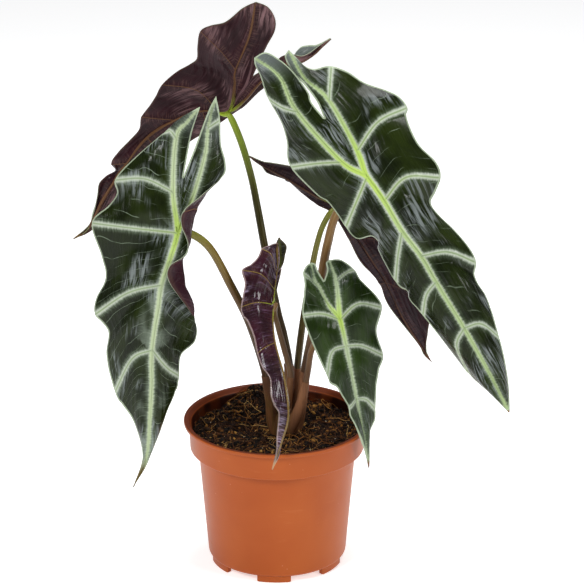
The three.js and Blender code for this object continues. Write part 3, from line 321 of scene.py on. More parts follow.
# Each leaf: `midrib` runs from the apex to the joint, where the stem meets the blade, and its points
# are numbered 0, 1, 2 and on; `vein` carries that on from the joint to a lobe's tip. `hand` is -1 for
# the half left of the midrib and 1 for the other. An `edge` row is number, rib share, margin point
# and, on some rows, the point halfway across. `notch` runs from the joint to the bottom of the notch
# between the lobes, which is at row `notchAt`, and `inner` is a lobe's own edge. `faces` is 1 where
# the front view shows the upper face. A stem has the radii `base` and `tip`, and its sheath ends at
# the v of `sheathTop`.
leaves = {
    "right": {
        "faces": 1,
        "midrib": [
            [156.3, 112.7, -78], [144, 137.3, -77], [126, 169.3, -73], [107.3, 200, -67],
            [97.3, 217.3, -62], [84.7, 234, -58], [72.7, 254, -52], [61.3, 270, -45],
        ],
        "notch": [[51.3, 284, -40], [40.7, 299.3, -36], [32.7, 309.3, -32]],
        "sides": [{
            "hand": -1,
            "vein": [
                [44.7, 280, -41], [14.7, 313.3, -31], [2.7, 336.7, -23], [-13.9, 349.5, -18.5],
            ],
            "edge": [
                [1, 0, [142.7, 126.7, -74]],
                [2, 1, [129.3, 138.7, -64], [121.3, 157.3, -70]],
                [2.5, 0, [114.7, 158, -60]],
                [3, 1, [98.7, 178, -58], [101, 191.3, -64]],
                [3.6, 0, [89.8, 188.7, -52.5]],
                [4, 0, [88.5, 193.5, -51]],
                [5, 1, [80.6, 200.3, -52], [82, 217.3, -58]],
                [5.6, 0, [69, 221.5, -44]],
                [5.8, 0, [69, 227, -42.5]],
                [6, 0, [64.7, 230.6, -41]],
                [6.3, 0, [55.5, 228.7, -37.5]],
                [6.6, 0, [50.3, 232, -37]],
                [7, 1, [47.3, 236.7, -38], [54, 252.7, -44]],
                [7.5, 0, [35.2, 253.8, -34]],
                [7.7, 0, [28, 258.4, -32.5]],
                [8, 1, [10.7, 276.7, -30], [28, 279, -38]],
                [8.5, 0, [8, 294.7, -26]],
                [8.75, 0, [4.2, 307, -25]],
                [9, 1, [-4.3, 322, -23], [5.3, 316, -29]],
                [10, 0, [-9.9, 338, -20]],
                [10.6, 0, [-13.3, 345, -18.5]],
            ],
            "notchAt": 8.7,
            "inner": [
                [8.95, [24.4, 319.4, -27]], [9.2, [22.3, 325.8, -23]], [10, [10.7, 341.3, -17]],
                [10.6, [-1, 350.8, -15.5]], [10.85, [-7.5, 353, -16.5]],
            ],
        }, {
            "hand": 1,
            "vein": [[54.7, 287.3, -40], [36, 320.7, -26], [20, 335.3, -17], [9, 354.7, -8]],
            "edge": [
                [1, 0, [155.3, 132.7, -74]],
                [2, 1, [149.3, 163.3, -66], [137.3, 172, -73]],
                [3, 0, [140.5, 190.5, -58]],
                [3.3, 0, [135, 198.5, -57]],
                [3.6, 0, [132.8, 204.7, -56]],
                [4, 1, [134, 213, -58], [115.3, 220, -64]],
                [4.4, 0, [130, 221.7, -54]],
                [5, 0, [119.7, 234, -48]],
                [5.4, 0, [107.3, 246.3, -44]],
                [5.6, 0, [103.6, 253.3, -43]],
                [5.75, 0, [106.5, 259.5, -42.5]],
                [6, 1, [110.3, 269.5, -42], [87.3, 269.7, -51]],
                [6.5, 0, [107.3, 279.5, -37]],
                [7, 0, [96.7, 290.2, -32]],
                [7.4, 0, [91.3, 299.5, -29]],
                [7.75, 0, [87.3, 310.7, -26]],
                [8, 1, [88.2, 316.3, -25], [68.7, 306.7, -34]],
                [8.2, 0, [82.7, 323.3, -22]],
                [8.4, 0, [73.7, 327.7, -19]],
                [8.6, 0, [59.5, 332.6, -16]],
                [8.8, 0, [48.3, 340, -13.5]],
                [9, 1, [37.5, 343.8, -12], [36.7, 332, -20]],
                [9.5, 0, [26, 341.8, -11.5]],
                [10, 0, [19.3, 343.9, -10]],
            ],
            "notchAt": 8.6,
            "inner": [
                [8.9, [28.9, 318.3, -28]], [9.2, [25.4, 323.9, -25]], [9.6, [18.8, 332.3, -19.5]],
                [10, [12.4, 339, -15]], [10.6, [6.6, 349.6, -10]],
            ],
        }],
        "stem": {
            "points": [
                [13.6, 104.5, 1.4], [17.3, 124, 0.3], [20, 141.3, -2.5], [26.7, 174.7, -8],
                [31.7, 208, -13], [35.3, 226.7, -18], [40, 243.3, -24], [50.5, 259, -34],
            ],
            "base": 3.2, "tip": 2.6, "sheathTop": 141,
        },
    },
    "left": {
        "faces": 1,
        "midrib": [
            [-94.7, 62.7, -50], [-86, 82, -50], [-83.3, 112, -50], [-82.3, 131.3, -51],
            [-82, 154.7, -50], [-78, 182, -48], [-75.7, 198, -46], [-70, 215.3, -43],
            [-65, 232.7, -39],
        ],
        "notch": [[-64, 244.7, -37], [-62.7, 258, -34], [-61.3, 270, -30]],
        "sides": [{
            "hand": -1,
            "vein": [[-68, 260, -34], [-66, 296, -24], [-58.7, 306.7, -20], [-50, 316.7, -16]],
            "edge": [
                [1, 0, [-88, 83.3, -49]],
                [2, 0, [-94, 106.7, -44]],
                [3, 0, [-100.7, 117.3, -42]],
                [4, 1, [-106.7, 126.7, -38], [-95.3, 148.7, -46]],
                [5, 0, [-112, 151.3, -34]],
                [5.5, 0, [-110.9, 166.5, -32]],
                [5.75, 0, [-115, 173, -31.5]],
                [6, 1, [-120, 178.3, -32], [-98, 192.7, -41]],
                [6.5, 0, [-119.3, 188.7, -28]],
                [7, 0, [-112.7, 202.7, -28]],
                [7.5, 0, [-115.3, 217.3, -26]],
                [8, 1, [-122, 239.3, -26], [-96, 236, -35]],
                [8.5, 0, [-110.3, 251.3, -24]],
                [8.75, 0, [-105.2, 259.3, -22.5]],
                [9, 1, [-106.7, 268, -23], [-86.7, 268.7, -31]],
                [9.5, 0, [-92.7, 283.3, -20]],
                [10, 1, [-74, 299.3, -20], [-70, 300.7, -22]],
                [11, 0, [-64.7, 307.3, -18]],
            ],
            "notchAt": 9.3,
            "inner": [[10, [-56.7, 294.7, -22]], [11, [-54, 305.3, -18]]],
        }, {
            "hand": 1,
            "vein": [
                [-55.3, 255.3, -32], [-46.7, 284.7, -24], [-44.7, 302.7, -18], [-39.3, 324, -12],
            ],
            "edge": [
                [1, 0, [-84, 83.3, -49]],
                [2, 0, [-72.7, 112, -42]],
                [3, 0, [-66.7, 126.7, -38]],
                [4, 1, [-64, 137.3, -38], [-72.7, 143.3, -45]],
                [4.5, 0, [-62.7, 151.3, -34]],
                [5, 0, [-53.3, 161.3, -30], [-65, 172, -40]],
                [5.6, 0, [-54.7, 176.7, -32]],
                [6, 0, [-70, 199.3, -52], [-58.7, 198, -36]],
                [6.5, 0, [-70, 210.7, -51], [-60, 211, -40]],
                [6.75, 0, [-59.7, 217.7, -43], [-60.7, 219, -39.5]],
                [7, 0, [-58, 226, -46], [-56.7, 225.3, -38]],
                [7.5, 0, [-62, 237.3, -47], [-55.3, 236, -36]],
                [8, 1, [-61.3, 247.3, -44], [-52.7, 248, -33]],
                [8.5, 0, [-50, 256.7, -36], [-47, 256.7, -30]],
                [9, 0, [-34.7, 270.7, -24], [-45.3, 262.7, -29]],
                [9.5, 0, [-33.3, 280, -21]],
                [10, 0, [-36.3, 291.3, -19], [-41.3, 288, -22]],
                [11, 1, [-36.7, 308, -16], [-40.7, 305.3, -17]],
            ],
            "notchAt": 9.4,
            "inner": [[10, [-54, 288, -24]], [11, [-48, 304.7, -18]], [11.6, [-43, 317.3, -14]]],
        }],
        "stem": {
            "points": [
                [-0.4, 105, 1.6], [-2.4, 121, -1], [-7.3, 143.3, -6], [-17.2, 172.7, -12],
                [-29.3, 197.3, -19], [-44.7, 224, -26], [-56, 232, -31],
            ],
            "base": 3, "tip": 2.5, "sheathTop": 138,
        },
    },
    "back_left": {
        "faces": -1,
        "midrib": [
            [-134.7, 228.7, 94.5], [-124.7, 235.3, 92], [-114, 256, 86.5], [-100, 277.3, 78.5],
            [-84.7, 296, 70], [-66.7, 308, 62], [-48, 314, 54], [-31, 314, 47],
        ],
        "notch": [[-27, 318, 45], [-22, 326, 42], [-14.7, 337.3, 38]],
        "sides": [{
            "hand": -1,
            "vein": [
                [-26.7, 331.3, 42], [-26, 341.8, 39], [-16.5, 364.5, 33.5], [-12.8, 386.8, 28.5],
            ],
            "edge": [
                [1, 0, [-124, 238, 92]],
                [1.5, 0, [-120.7, 247, 88]],
                [2, 0, [-118.3, 258, 85]],
                [2.4, 0, [-117, 266, 83]],
                [2.65, 0, [-112.3, 270.7, 86]],
                [2.85, 0, [-106.3, 274.3, 90]],
                [3.1, 1, [-109.3, 279, 82], [-104, 279, 80.5]],
                [3.5, 0, [-105.3, 285.7, 80]],
                [4, 0, [-97, 294.2, 77]],
                [4.5, 0, [-90.7, 301.7, 75]],
                [5, 1, [-89, 310.2, 73], [-78, 309, 67.5]],
                [5.4, 0, [-83.3, 318, 69]],
                [6, 0, [-79.3, 324.3, 66]],
                [6.6, 1, [-75, 332, 63], [-52, 328, 56]],
                [7, 0, [-66.3, 339.7, 60]],
                [7.5, 0, [-57, 345, 56.5]],
                [8, 0, [-52.3, 349, 53]],
                [8.5, 0, [-51.6, 358, 49.5]],
                [9, 1, [-49.6, 367.5, 46], [-35.3, 353.5, 42]],
                [9.3, 0, [-43.5, 370.8, 42]],
                [9.6, 0, [-33.5, 373.2, 37.5]],
                [10.2, 0, [-22, 382.3, 32]],
            ],
            "notchAt": 9,
            "inner": [
                [9.4, [-9.7, 348.5, 34]], [9.8, [-5.3, 357.7, 31.5]], [10.3, [-0.2, 367.5, 30]],
                [10.6, [0, 375.5, 29]], [10.85, [-5, 383.5, 28.5]],
            ],
        }, {
            "hand": 1,
            "vein": [
                [-20, 322, 43], [-8.7, 334.7, 39], [6.7, 345.5, 35], [17.8, 347.4, 32],
                [28.6, 354.8, 30], [36.8, 362.6, 29],
            ],
            "edge": [
                [1, 0, [-122, 234.7, 93]],
                [2, 0, [-106.7, 251.3, 86.5]],
                [3, 0, [-90, 268, 78.5]],
                [4, 1, [-73.3, 281.3, 70], [-78.7, 289.3, 69]],
                [5, 0, [-56, 294, 62]],
                [6, 1, [-44.7, 300.7, 55.5], [-46, 307.3, 54]],
                [7, 0, [-32, 309.5, 51.5]],
                [8, 0, [-21.3, 317, 50]],
                [9, 0, [-8, 329, 47]],
                [10, 0, [9, 341.3, 41]],
                [10.5, 0, [11.5, 348.5, 40.5]],
                [11, 0, [16.3, 355.8, 38]],
                [11.5, 0, [22.3, 357.6, 35.5]],
                [12, 0, [27.8, 358, 32]],
            ],
            "notchAt": 9,
            "inner": [
                [9.6, [-1, 346, 38]], [10, [4.5, 350.5, 36.5]], [10.5, [11.5, 351.6, 32.5]],
                [11, [17.5, 350.5, 29.5]], [11.5, [23.2, 352.7, 28]], [12, [28, 356.4, 28.8]],
            ],
        }],
        "stem": {
            "points": [
                [3.8, 109.3, 8.3], [7.3, 124, 6], [9.5, 141.3, 3], [5.5, 165, 7], [2, 178, 10],
                [-7, 224, 21], [-11.3, 247.3, 28], [-16, 270.7, 34], [-24, 297, 40],
            ],
            "base": 3, "tip": 2.2, "sheathTop": 146,
        },
    },
    "back_right": {
        "faces": -1,
        "midrib": [
            [104.6, 146.4, 73.5], [98.7, 154.7, 73], [85.3, 176.7, 70], [74, 200, 65],
            [64, 216, 59.5], [54, 230.7, 55.5], [42, 250, 50],
        ],
        "notch": [[39.8, 257, 50], [38.3, 262.5, 49.5], [36.7, 268, 48.5]],
        "sides": [{
            "hand": -1,
            "vein": [[26.7, 258, 51.5], [6.7, 270, 51.5], [-6.7, 277.3, 51.5], [-17.5, 284.3, 50]],
            "edge": [
                [0.7, 0, [99.1, 152, 73]],
                [1, 0, [96, 158, 73]],
                [2, 0, [76, 184, 67.5]],
                [3, 1, [69.3, 199.3, 63.5], [71, 199, 64]],
                [4, 0, [56.7, 214, 58]],
                [5, 1, [49.3, 228, 52.5], [51, 228.5, 54]],
                [6, 0, [38.7, 245.3, 51.5]],
                [7, 0, [27.3, 252, 54]],
                [7.5, 0, [17.2, 259.7, 54]],
                [8, 1, [8.7, 267.3, 54], [7.5, 268.5, 52.5]],
                [9, 0, [-5.3, 272.7, 52.5]],
                [9.3, 0, [-8.7, 277.2, 51.5]],
            ],
            "notchAt": 7,
            "inner": [
                [7.5, [23.3, 274, 48.5]], [8.3, [8.7, 277.5, 47]], [9, [-3.3, 279.5, 48.5]],
                [9.3, [-8, 280.2, 49.7]],
            ],
        }, {
            "hand": 1,
            "vein": [[51.3, 264.7, 48.5], [62, 281.3, 46], [73.3, 301.3, 40.5]],
            "edge": [
                [0.7, 0, [101, 153, 73]],
                [1, 0, [100.7, 158, 73]],
                [2, 0, [102, 167.3, 67.5]],
                [3, 1, [104.7, 188, 62], [90, 194, 63.5]],
                [4, 0, [100, 208, 56.5]],
                [5, 1, [95.3, 228, 51.5], [75.3, 228, 54]],
                [6, 0, [86.7, 248, 47]],
                [7, 1, [83.3, 264.7, 43], [67.3, 264, 46]],
                [8, 0, [80, 284.7, 40.5]],
            ],
            "notchAt": 7,
            "inner": [[8, [54, 288, 46]], [8.6, [64.7, 298, 43]]],
        }],
        "stem": {
            "points": [
                [11.7, 109.3, 8.3], [13.2, 124, 9.3], [15.2, 146.7, 10], [18.7, 174.7, 14],
                [22, 194.7, 21], [27.7, 224, 33], [31.7, 237, 38], [37.3, 246.5, 42],
            ],
            "base": 2.6, "tip": 1.8, "sheathTop": 143,
        },
    },
    "small": {
        "faces": 1,
        "midrib": [
            [62.7, 76, -28], [57.3, 104.7, -35], [54, 122, -40], [50, 142.7, -42],
            [47.3, 157.3, -41], [43.3, 175, -38],
        ],
        "notch": [[40, 183.5, -36.5], [36.5, 192, -35], [32.7, 200.7, -33]],
        "sides": [{
            "hand": -1,
            "vein": [[35.3, 184.7, -36], [30, 195.3, -34], [26.3, 202, -32], [24, 213, -28]],
            "edge": [
                [0.5, 0, [58.6, 90.7, -34]],
                [1, 0, [53.6, 103.3, -43]],
                [1.6, 0, [49.9, 111, -46.5]],
                [2, 1, [49.3, 116, -47], [51.3, 118, -44]],
                [2.5, 0, [45, 123, -48]],
                [3, 0, [41, 129.8, -48.5]],
                [3.5, 0, [37, 132.3, -48]],
                [4, 1, [34.9, 137, -47], [38, 153.3, -45]],
                [4.5, 0, [24, 161.3, -42]],
                [5, 1, [18.4, 177.7, -38], [31.3, 178.7, -39]],
                [5.6, 0, [19.2, 190, -35]],
                [6, 0, [19.7, 198.7, -34]],
                [7, 0.7, [18.7, 205.7, -31], [24.7, 200.7, -32]],
                [8, 0, [20.7, 210.3, -29]],
            ],
            "notchAt": 7.2,
            "inner": [[8, [28.7, 207.3, -31]], [8.6, [26.7, 212, -29]]],
        }, {
            "hand": 1,
            "vein": [[42, 191.3, -36], [40.7, 200.7, -34], [38.7, 207.3, -31], [36, 214.7, -28]],
            "edge": [
                [0.5, 0, [63.1, 92, -28.5]],
                [1, 0, [63.5, 101.5, -28.5]],
                [1.5, 0, [66.3, 108.3, -30]],
                [2, 1, [67, 115.3, -33], [60.7, 121.7, -38]],
                [3, 0, [67.5, 130.7, -35]],
                [3.5, 0, [69, 141, -35]],
                [4, 1, [72, 151, -34], [58, 157.3, -39]],
                [4.5, 0, [67.6, 167, -31.5]],
                [5, 1, [71.2, 183, -30], [55.3, 185.3, -36]],
                [5.3, 0, [67.7, 190.3, -29]],
                [5.6, 0, [60.7, 197.5, -29]],
                [6, 0, [56.5, 201.7, -29]],
                [7, 0.7, [52.7, 208.3, -29], [47.3, 206, -31]],
                [8, 0, [44, 214.5, -28]],
            ],
            "notchAt": 7,
            "inner": [[8, [34.7, 208, -31]], [8.6, [34, 212.7, -29]]],
        }],
        "stem": {
            "points": [
                [10.3, 102.5, -4.5], [16.5, 116, -7.3], [20, 131.3, -10], [22, 141.3, -12],
                [24.7, 155.3, -16], [33.3, 167.5, -27],
            ],
            "base": 2.4, "tip": 1.7, "sheathTop": 134,
        },
    },
    "curled": {
        "faces": -1,
        "midrib": [
            [-2.1, 74.8, -68], [4.8, 95.5, -70], [8.5, 112, -68], [5.2, 137, -57.5],
            [-0.7, 159.3, -42], [-2.2, 173, -33], [-1.6, 184.9, -25],
        ],
        "notch": [[-0.7, 190.7, -22], [0, 198, -18.5], [1.6, 207, -15]],
        "sides": [{
            "hand": -1,
            "vein": [[-1, 195, -21], [0.2, 205, -17.5], [1, 215, -15], [0.8, 226, -13]],
            "edge": [
                [0.5, 0, [0.7, 86.5, -70.5]],
                [1, 0, [1.1, 96, -71.5]],
                [1.6, 0, [2, 106, -72]],
                [2, 0, [2.1, 113.7, -71.5]],
                [2.2, 0, [-0.6, 118, -70.5]],
                [2.5, 0, [-2.8, 125.3, -68]],
                [3, 0, [-3.4, 135.7, -62]],
                [3.4, 0, [-8.3, 142.7, -56.5]],
                [4, 1, [-11.9, 152, -50], [-6.7, 156.3, -48]],
                [4.5, 0, [-14.6, 164.7, -45]],
                [5, 0, [-18.6, 174, -41], [-9.7, 176, -39]],
                [5.6, 0, [-22, 177.7, -38]],
                [6, 1, [-22.8, 183.3, -35], [-12, 186.3, -33.5]],
                [6.4, 0, [-21.4, 192, -32]],
                [6.7, 0, [-20.3, 199, -29.5]],
                [7, 1, [-22, 207.7, -26.5], [-9.5, 205, -27]],
                [7.3, 0, [-16, 211.7, -24]],
                [7.6, 0, [-11.7, 216, -21.5]],
                [8, 1, [-8.8, 222, -19], [-2.7, 217.7, -20]],
                [8.6, 0, [-3.7, 224.3, -16]],
            ],
            "notchAt": 8,
            "inner": [[9, [3, 215.7, -12.7]], [9.6, [2.3, 222.7, -12]]],
        }, {
            "hand": 1,
            "vein": [[0.3, 196, -17.5], [2.7, 207, -13], [3.7, 217, -9.5], [2.5, 229.7, -6]],
            "edge": [
                [0.5, 0, [2.5, 84.5, -67.5]],
                [1, 0, [2.7, 96, -66.5]],
                [2, 0, [4, 113, -64.5]],
                [3, 0, [-1, 136.7, -51.5], [5.2, 137, -53.5]],
                [4, 0, [-10.5, 157, -35], [-3, 159.7, -37]],
                [5, 0, [-15, 172.7, -26], [-5.3, 174.7, -27]],
                [6, 0, [-16.7, 184, -17.5], [-6, 187.3, -19]],
                [7, 0, [-12, 202, -10], [-3, 200, -12.5]],
                [8, 0, [-5.3, 213.7, -6], [0, 211, -9]],
                [9, 0, [-1, 222, -4.5]],
            ],
            "notchAt": 8,
            "inner": [[8.3, [5, 211, -11.7]], [9, [6.7, 218.3, -8.7]], [9.5, [7.5, 224.3, -7]]],
        }],
        "stem": {
            "points": [
                [4.2, 102.5, -4.3], [8.2, 122, -6.3], [10.4, 138, -7.5], [6.4, 154, -9.5],
                [2, 170, -13], [-0.3, 179, -16.5],
            ],
            "base": 2.2, "tip": 1.7, "sheathTop": 137,
        },
    },
}
blade = {
    "halfThickness": 0.35,
    "midribDepth": 1.1,
    "ribDepth": 0.6,
    "ridgeWidth": 0.95,
    "ridgeTaper": (40, 0.15),  # mm from the apex to the full depth, and the least share of it
    "groove": 0.2,
    "grooveWidth": 1.1,
    "veinEdge": (-0.6, 0.8),  # how far inside a vein's edge its groove and ridge come up
    "pleat": 0.2,
    "pleatPitch": (1.25, 2.3),  # in radians for each mm across, of the coarse and the fine ones
    "finePleat": 0.6,  # height of the fine ones
    "pleatAtRib": 0.35,  # of a pleat's height
    "pleatDrift": (2.2, 1.4),  # in radians, and how much more the fine ones drift
    "driftSize": 7,
    "driftRow": 6,  # mm of the drift's noise to a row
    "ripple": 0.45,
    "rippleSize": (0.42, 0.19),  # in rows
    "seeds": (13, 11, 12),  # of the drift and the two ripples
    "lobeSwell": 0.07,
    "endFade": 1.5,
    "acrossOuter": 34,
    "acrossInner": 16,
    "crowding": 0.25,  # of a row's points toward the midrib
}


# Row numbers from the first break to the last, evenly spread between neighbouring breaks.
def spread(breaks, perNumber):
    breaks = sorted(breaks)
    counts = [max(2, round((b - a) * perNumber)) for a, b in zip(breaks[:-1], breaks[1:])]
    parts = [np.linspace(a, b, n, endpoint=False) for a, b, n in zip(breaks[:-1], breaks[1:], counts)]
    return np.concatenate([*parts, [breaks[-1]]])


# The midrib and, past the joint, the vein of one lobe, as a curve by row number.
def spineOf(leaf, side):
    joint = len(leaf["midrib"]) - 1
    starts = [np.array(each["vein"][0]) for each in leaf["sides"]]
    midrib = seen([*leaf["midrib"], sum(starts) / 2])
    vein = seen([*leaf["midrib"][-2:], *side["vein"]])

    def spine(n):
        body = along(np.arange(joint + 2), midrib, np.minimum(n, joint))
        lobe = along(np.arange(len(vein)) + joint - 1, vein, np.maximum(n, joint))
        return np.where(n[:, None] > joint, lobe, body)

    return spine


# The shortest way from each point to a line of points: its length, and how far along the line it
# ends. On each stretch the foot is a + (b - a) * clip((p - a).(b - a) / |b - a|^2, 0, 1).
def toLine(points, line):
    a, step = line[:-1], np.diff(line, axis=0)
    size = np.maximum((step**2).sum(1), 1e-9)
    away = points[:, None] - a
    share = np.clip((away * step).sum(2) / size, 0, 1)
    gaps = np.linalg.norm(away - share[..., None] * step, axis=2)
    nearest = gaps.argmin(1)
    each = np.arange(len(points))
    run = np.concatenate([[0], np.cumsum(np.sqrt(size))])
    return gaps[each, nearest], run[nearest] + share[each, nearest] * np.sqrt(size)[nearest]


# How far each point of a half is lifted off its smooth sheet, in mm: quilt * sin(pi t) * sin^2
# between two ribs, fine pleats of a wandering pitch, and a ripple that grows toward the margin.
def relief(leaf, n, t, width, marks, number):
    below = np.searchsorted(marks, n, side="right") - 1
    low = marks[np.minimum(below, len(marks) - 2)]
    high = marks[np.minimum(below + 1, len(marks) - 1)]
    between = np.sin(np.pi * np.clip((n - low) / np.maximum(high - low, 1e-6), 0, 1))
    ends = np.minimum(1, np.minimum(n, marks[-1] - n) * blade["endFade"])
    arch = np.sin(np.pi * t)
    lift = leaf["quilt"] * np.outer(between**2 * ends, arch)
    wide = np.outer(width, t)
    driftSeed, longSeed, shortSeed = blade["seeds"]
    down = n[:, None] * blade["driftRow"] + 0 * wide
    drift, more = blade["pleatDrift"]
    drift = noise(wide, down, blade["driftSize"], driftSeed + number) * drift
    coarse, fine = blade["pleatPitch"]
    pleats = np.sin(wide * coarse + drift)
    pleats = pleats + blade["finePleat"] * np.sin(wide * fine - more * drift + number)
    steady = blade["pleatAtRib"] + (1 - blade["pleatAtRib"]) * between
    lift += blade["pleat"] * pleats * np.outer(steady * ends, arch)
    long, short = blade["rippleSize"]
    place = 0 * n + number
    wave = noise(n, place, long, longSeed) + 0.5 * noise(n, place, short, shortSeed)
    return lift + blade["ripple"] * np.outer(wave * ends, t**5)


# The strip inside a lobe: straight rows from the lobe's vein to the line that both lobes share and,
# past the notch, to the lobe's own edge, with a low arch of swell * width * sin(pi s).
def lobeStrip(leaf, side, spine, seam, lobe, tip, toward):
    shared = seen([leaf["midrib"][-1], *leaf["notch"]])
    closed = along(np.arange(len(shared)), shared, seam * (len(shared) - 1))
    freeKeys = [tip[0], *[row[0] for row in side["inner"]], tip[-1]]
    innerEdge = seen([row[1] for row in side["inner"]])
    freePoints = np.concatenate([shared[-1:], innerEdge, spine(tip[-1:])])
    far = np.concatenate([closed, along(freeKeys, freePoints, tip[1:])])
    near = spine(lobe)
    out = unit(np.cross(np.gradient(near, axis=0), far - near)) * toward
    swell = blade["lobeSwell"] * np.linalg.norm(far - near, axis=1)
    swell = swell * np.minimum(1, (tip[-1] - lobe) * blade["endFade"])
    s = np.linspace(0, 1, blade["acrossInner"])
    strip = near[:, None] + (far - near)[:, None] * s[:, None]
    strip = strip + out[:, None] * (swell[:, None] * np.sin(np.pi * s))[..., None]
    return {"n": lobe, "t": s, "rows": strip}


# The half of a blade between the midrib or lobe vein and the margin, and the strip inside its lobe,
# as grids with their row numbers. A row of the half is the smooth curve through the spine, the
# middle and the margin, lifted off the sheet by its relief.
def bladeGrids(leaf, side, seam, number):
    joint = len(leaf["midrib"]) - 1
    last = joint + len(side["vein"])
    spine = spineOf(leaf, side)
    ribs = {row[0]: row[1] for row in side["edge"] if row[1]}
    marginKeys = [0, *[row[0] for row in side["edge"]], last]
    marginPoints = seen([leaf["midrib"][0], *[row[2] for row in side["edge"]], side["vein"][-1]])
    margin = lambda n: along(marginKeys, marginPoints, n)
    bowed = [row for row in side["edge"] if len(row) > 3]
    bowKeys = np.array([0.0, *[row[0] for row in bowed], last])
    chords = (spine(bowKeys) + margin(bowKeys)) / 2
    bowPoints = np.concatenate([chords[:1], seen([row[3] for row in bowed]), chords[-1:]]) - chords

    both = {row[0] for each in leaf["sides"] for row in each["edge"] if row[1] and row[0] < joint}
    body = spread({*range(joint + 1), *both}, leaf["rows"])
    notchAt = side["notchAt"]
    tip = spread({notchAt, last, *[n for n in ribs if n > notchAt]}, leaf["rows"])
    lobe = np.concatenate([joint + seam * (notchAt - joint), tip[1:]])
    n = np.concatenate([body, lobe[1:]])

    start, end = spine(n), margin(n)
    middle = (start + end) / 2 + along(bowKeys, bowPoints, n)
    t = np.linspace(0, 1, blade["acrossOuter"])
    t = (1 - blade["crowding"]) * t + blade["crowding"] * t * t
    keys = np.stack([start, middle, end])
    rows = np.moveaxis(along([0, 0.5, 1], keys.reshape(3, -1), t).reshape(len(t), -1, 3), 0, 1)
    toward = 1 if side["hand"] * leaf["faces"] < 0 else -1
    normal = unit(np.cross(np.gradient(start, axis=0), end - start)) * toward
    marks = np.array([0, *sorted(ribs), last])
    lift = relief(leaf, n, t, np.linalg.norm(end - start, axis=1), marks, number)
    outer = {"n": n, "t": t, "rows": rows + normal[:, None] * lift[..., None]}
    inner = lobeStrip(leaf, side, spine, seam, lobe, tip, -toward)
    return {"outer": outer, "inner": inner, "spine": spine, "ribs": ribs, "last": last}


traces = {
    "steps": 170,  # points of a spine's line
    # the width at a spine's end, of the full one, and the power by which it grows from there
    "bodyTaper": (0.3, 0.75),
    "lobeTaper": (0.2, 1.1),
    "ribFlare": 0.2,
    "ribReach": 0.8,  # rows on both sides of a rib that know of it
    "fade": 25,  # a rib's strength falls by this for each row past its reach
    "apart": 61,  # keeps one vein's noise clear of the next one's
    "sideApart": 9.0,  # and one half's clear of the other's
    "mainApart": 7,
    "away": 40.0,  # stands for the distance to a vein until one is found
    "glowReach": 34,
    "least": 0.3,  # of the sine of a row's angle to the margin
    "rimRise": 20,  # mm that the rim's distance gains for each row before the lobe's own edge
    "arcBow": 0.35,  # rows that a fine side vein bows toward the joint
}


# The midrib and lobe vein of one half, from row `start` on: its line and its half width along it.
def spineVein(leaf, half, start):
    joint, last = len(leaf["midrib"]) - 1, half["last"]
    n = np.linspace(start, last, traces["steps"])
    line = half["spine"](n)
    least, power = traces["bodyTaper"]
    body = least + (1 - least) * np.minimum(n / joint, 1) ** power
    least, power = traces["lobeTaper"]
    lobe = least + (1 - least) * np.minimum((last - n) / (last - joint), 1) ** power
    width = leaf["midribWidth"] * np.minimum(body, lobe)
    run = lengthAlong(line)
    return {"line": line, "width": (run, width), "at": 0, "reach": math.inf, "main": 1.0}


# The rib along the row at `at`, a little wider toward the margin.
def ribVein(leaf, grid, at, share):
    line = grid["rows"][np.abs(grid["n"] - at).argmin()]
    run = lengthAlong(line)
    flare = traces["ribFlare"]
    width = leaf["ribWidth"] * share * (1 - flare + flare * (run / run[-1]) ** 2)
    return {"line": line, "width": (run, width), "at": at, "reach": traces["ribReach"], "main": 0.0}


# What a grid's points know of the veins near them, in mm: `band` is the vein's half width less the
# distance from it, `core` that distance, `run` the way along it. `rim` is the distance from the
# margin: what is left of the row times the sine of the angle at which it meets the margin. `glow` is
# exp(-distance from the joint / reach), `weave` the way across, along and the side's number, and
# `row` the row's number, bowed.
def bladeValues(grid, veins, joint, number, apex, rimFrom):
    rows, n, t = grid["rows"], grid["n"], grid["t"]
    points = rows.reshape(-1, 3)
    rowNumber = np.repeat(n, len(t))
    best = {"band": np.full(len(points), -traces["away"]), "core": np.full(len(points), traces["away"])}
    best |= {"run": np.zeros(len(points)), "main": np.zeros(len(points))}
    for k, vein in enumerate(veins):
        gap, run = toLine(points, vein["line"])
        width = np.interp(run, *vein["width"])
        gap = gap + traces["fade"] * np.maximum(0, np.abs(rowNumber - vein["at"]) - vein["reach"])
        nearer = width - gap > best["band"]
        found = {"band": width - gap, "core": gap}
        found |= {"run": run + traces["apart"] * k, "main": vein["main"]}
        for key, value in found.items():
            best[key] = np.where(nearer, value, best[key])
    across = rows[:, -1] - rows[:, 0]
    length = np.linalg.norm(across, axis=1)
    edge = unit(np.gradient(rows[:, -1], axis=0))
    slant = np.linalg.norm(np.cross(unit(across), edge), axis=1)
    rim = np.outer(length * np.maximum(slant, traces["least"]), 1 - t)
    rim = rim + traces["rimRise"] * np.maximum(0, rimFrom - n)[:, None]
    pitch = np.linalg.norm(np.gradient(rows[:, 0], axis=0), axis=1)
    down = np.outer(np.cumsum(pitch), np.ones_like(t))
    layer = np.full(rim.shape, traces["sideApart"] * number)
    return best | {
        "rim": rim.ravel(),
        "glow": np.exp(-np.linalg.norm(points - joint, axis=1) / traces["glowReach"]),
        "apex": np.linalg.norm(points - apex, axis=1),
        "weave": np.stack([np.outer(length, t), down, layer], -1).reshape(-1, 3),
        "row": rowNumber + traces["arcBow"] * np.tile(t * (1 - t), len(n)),
    }


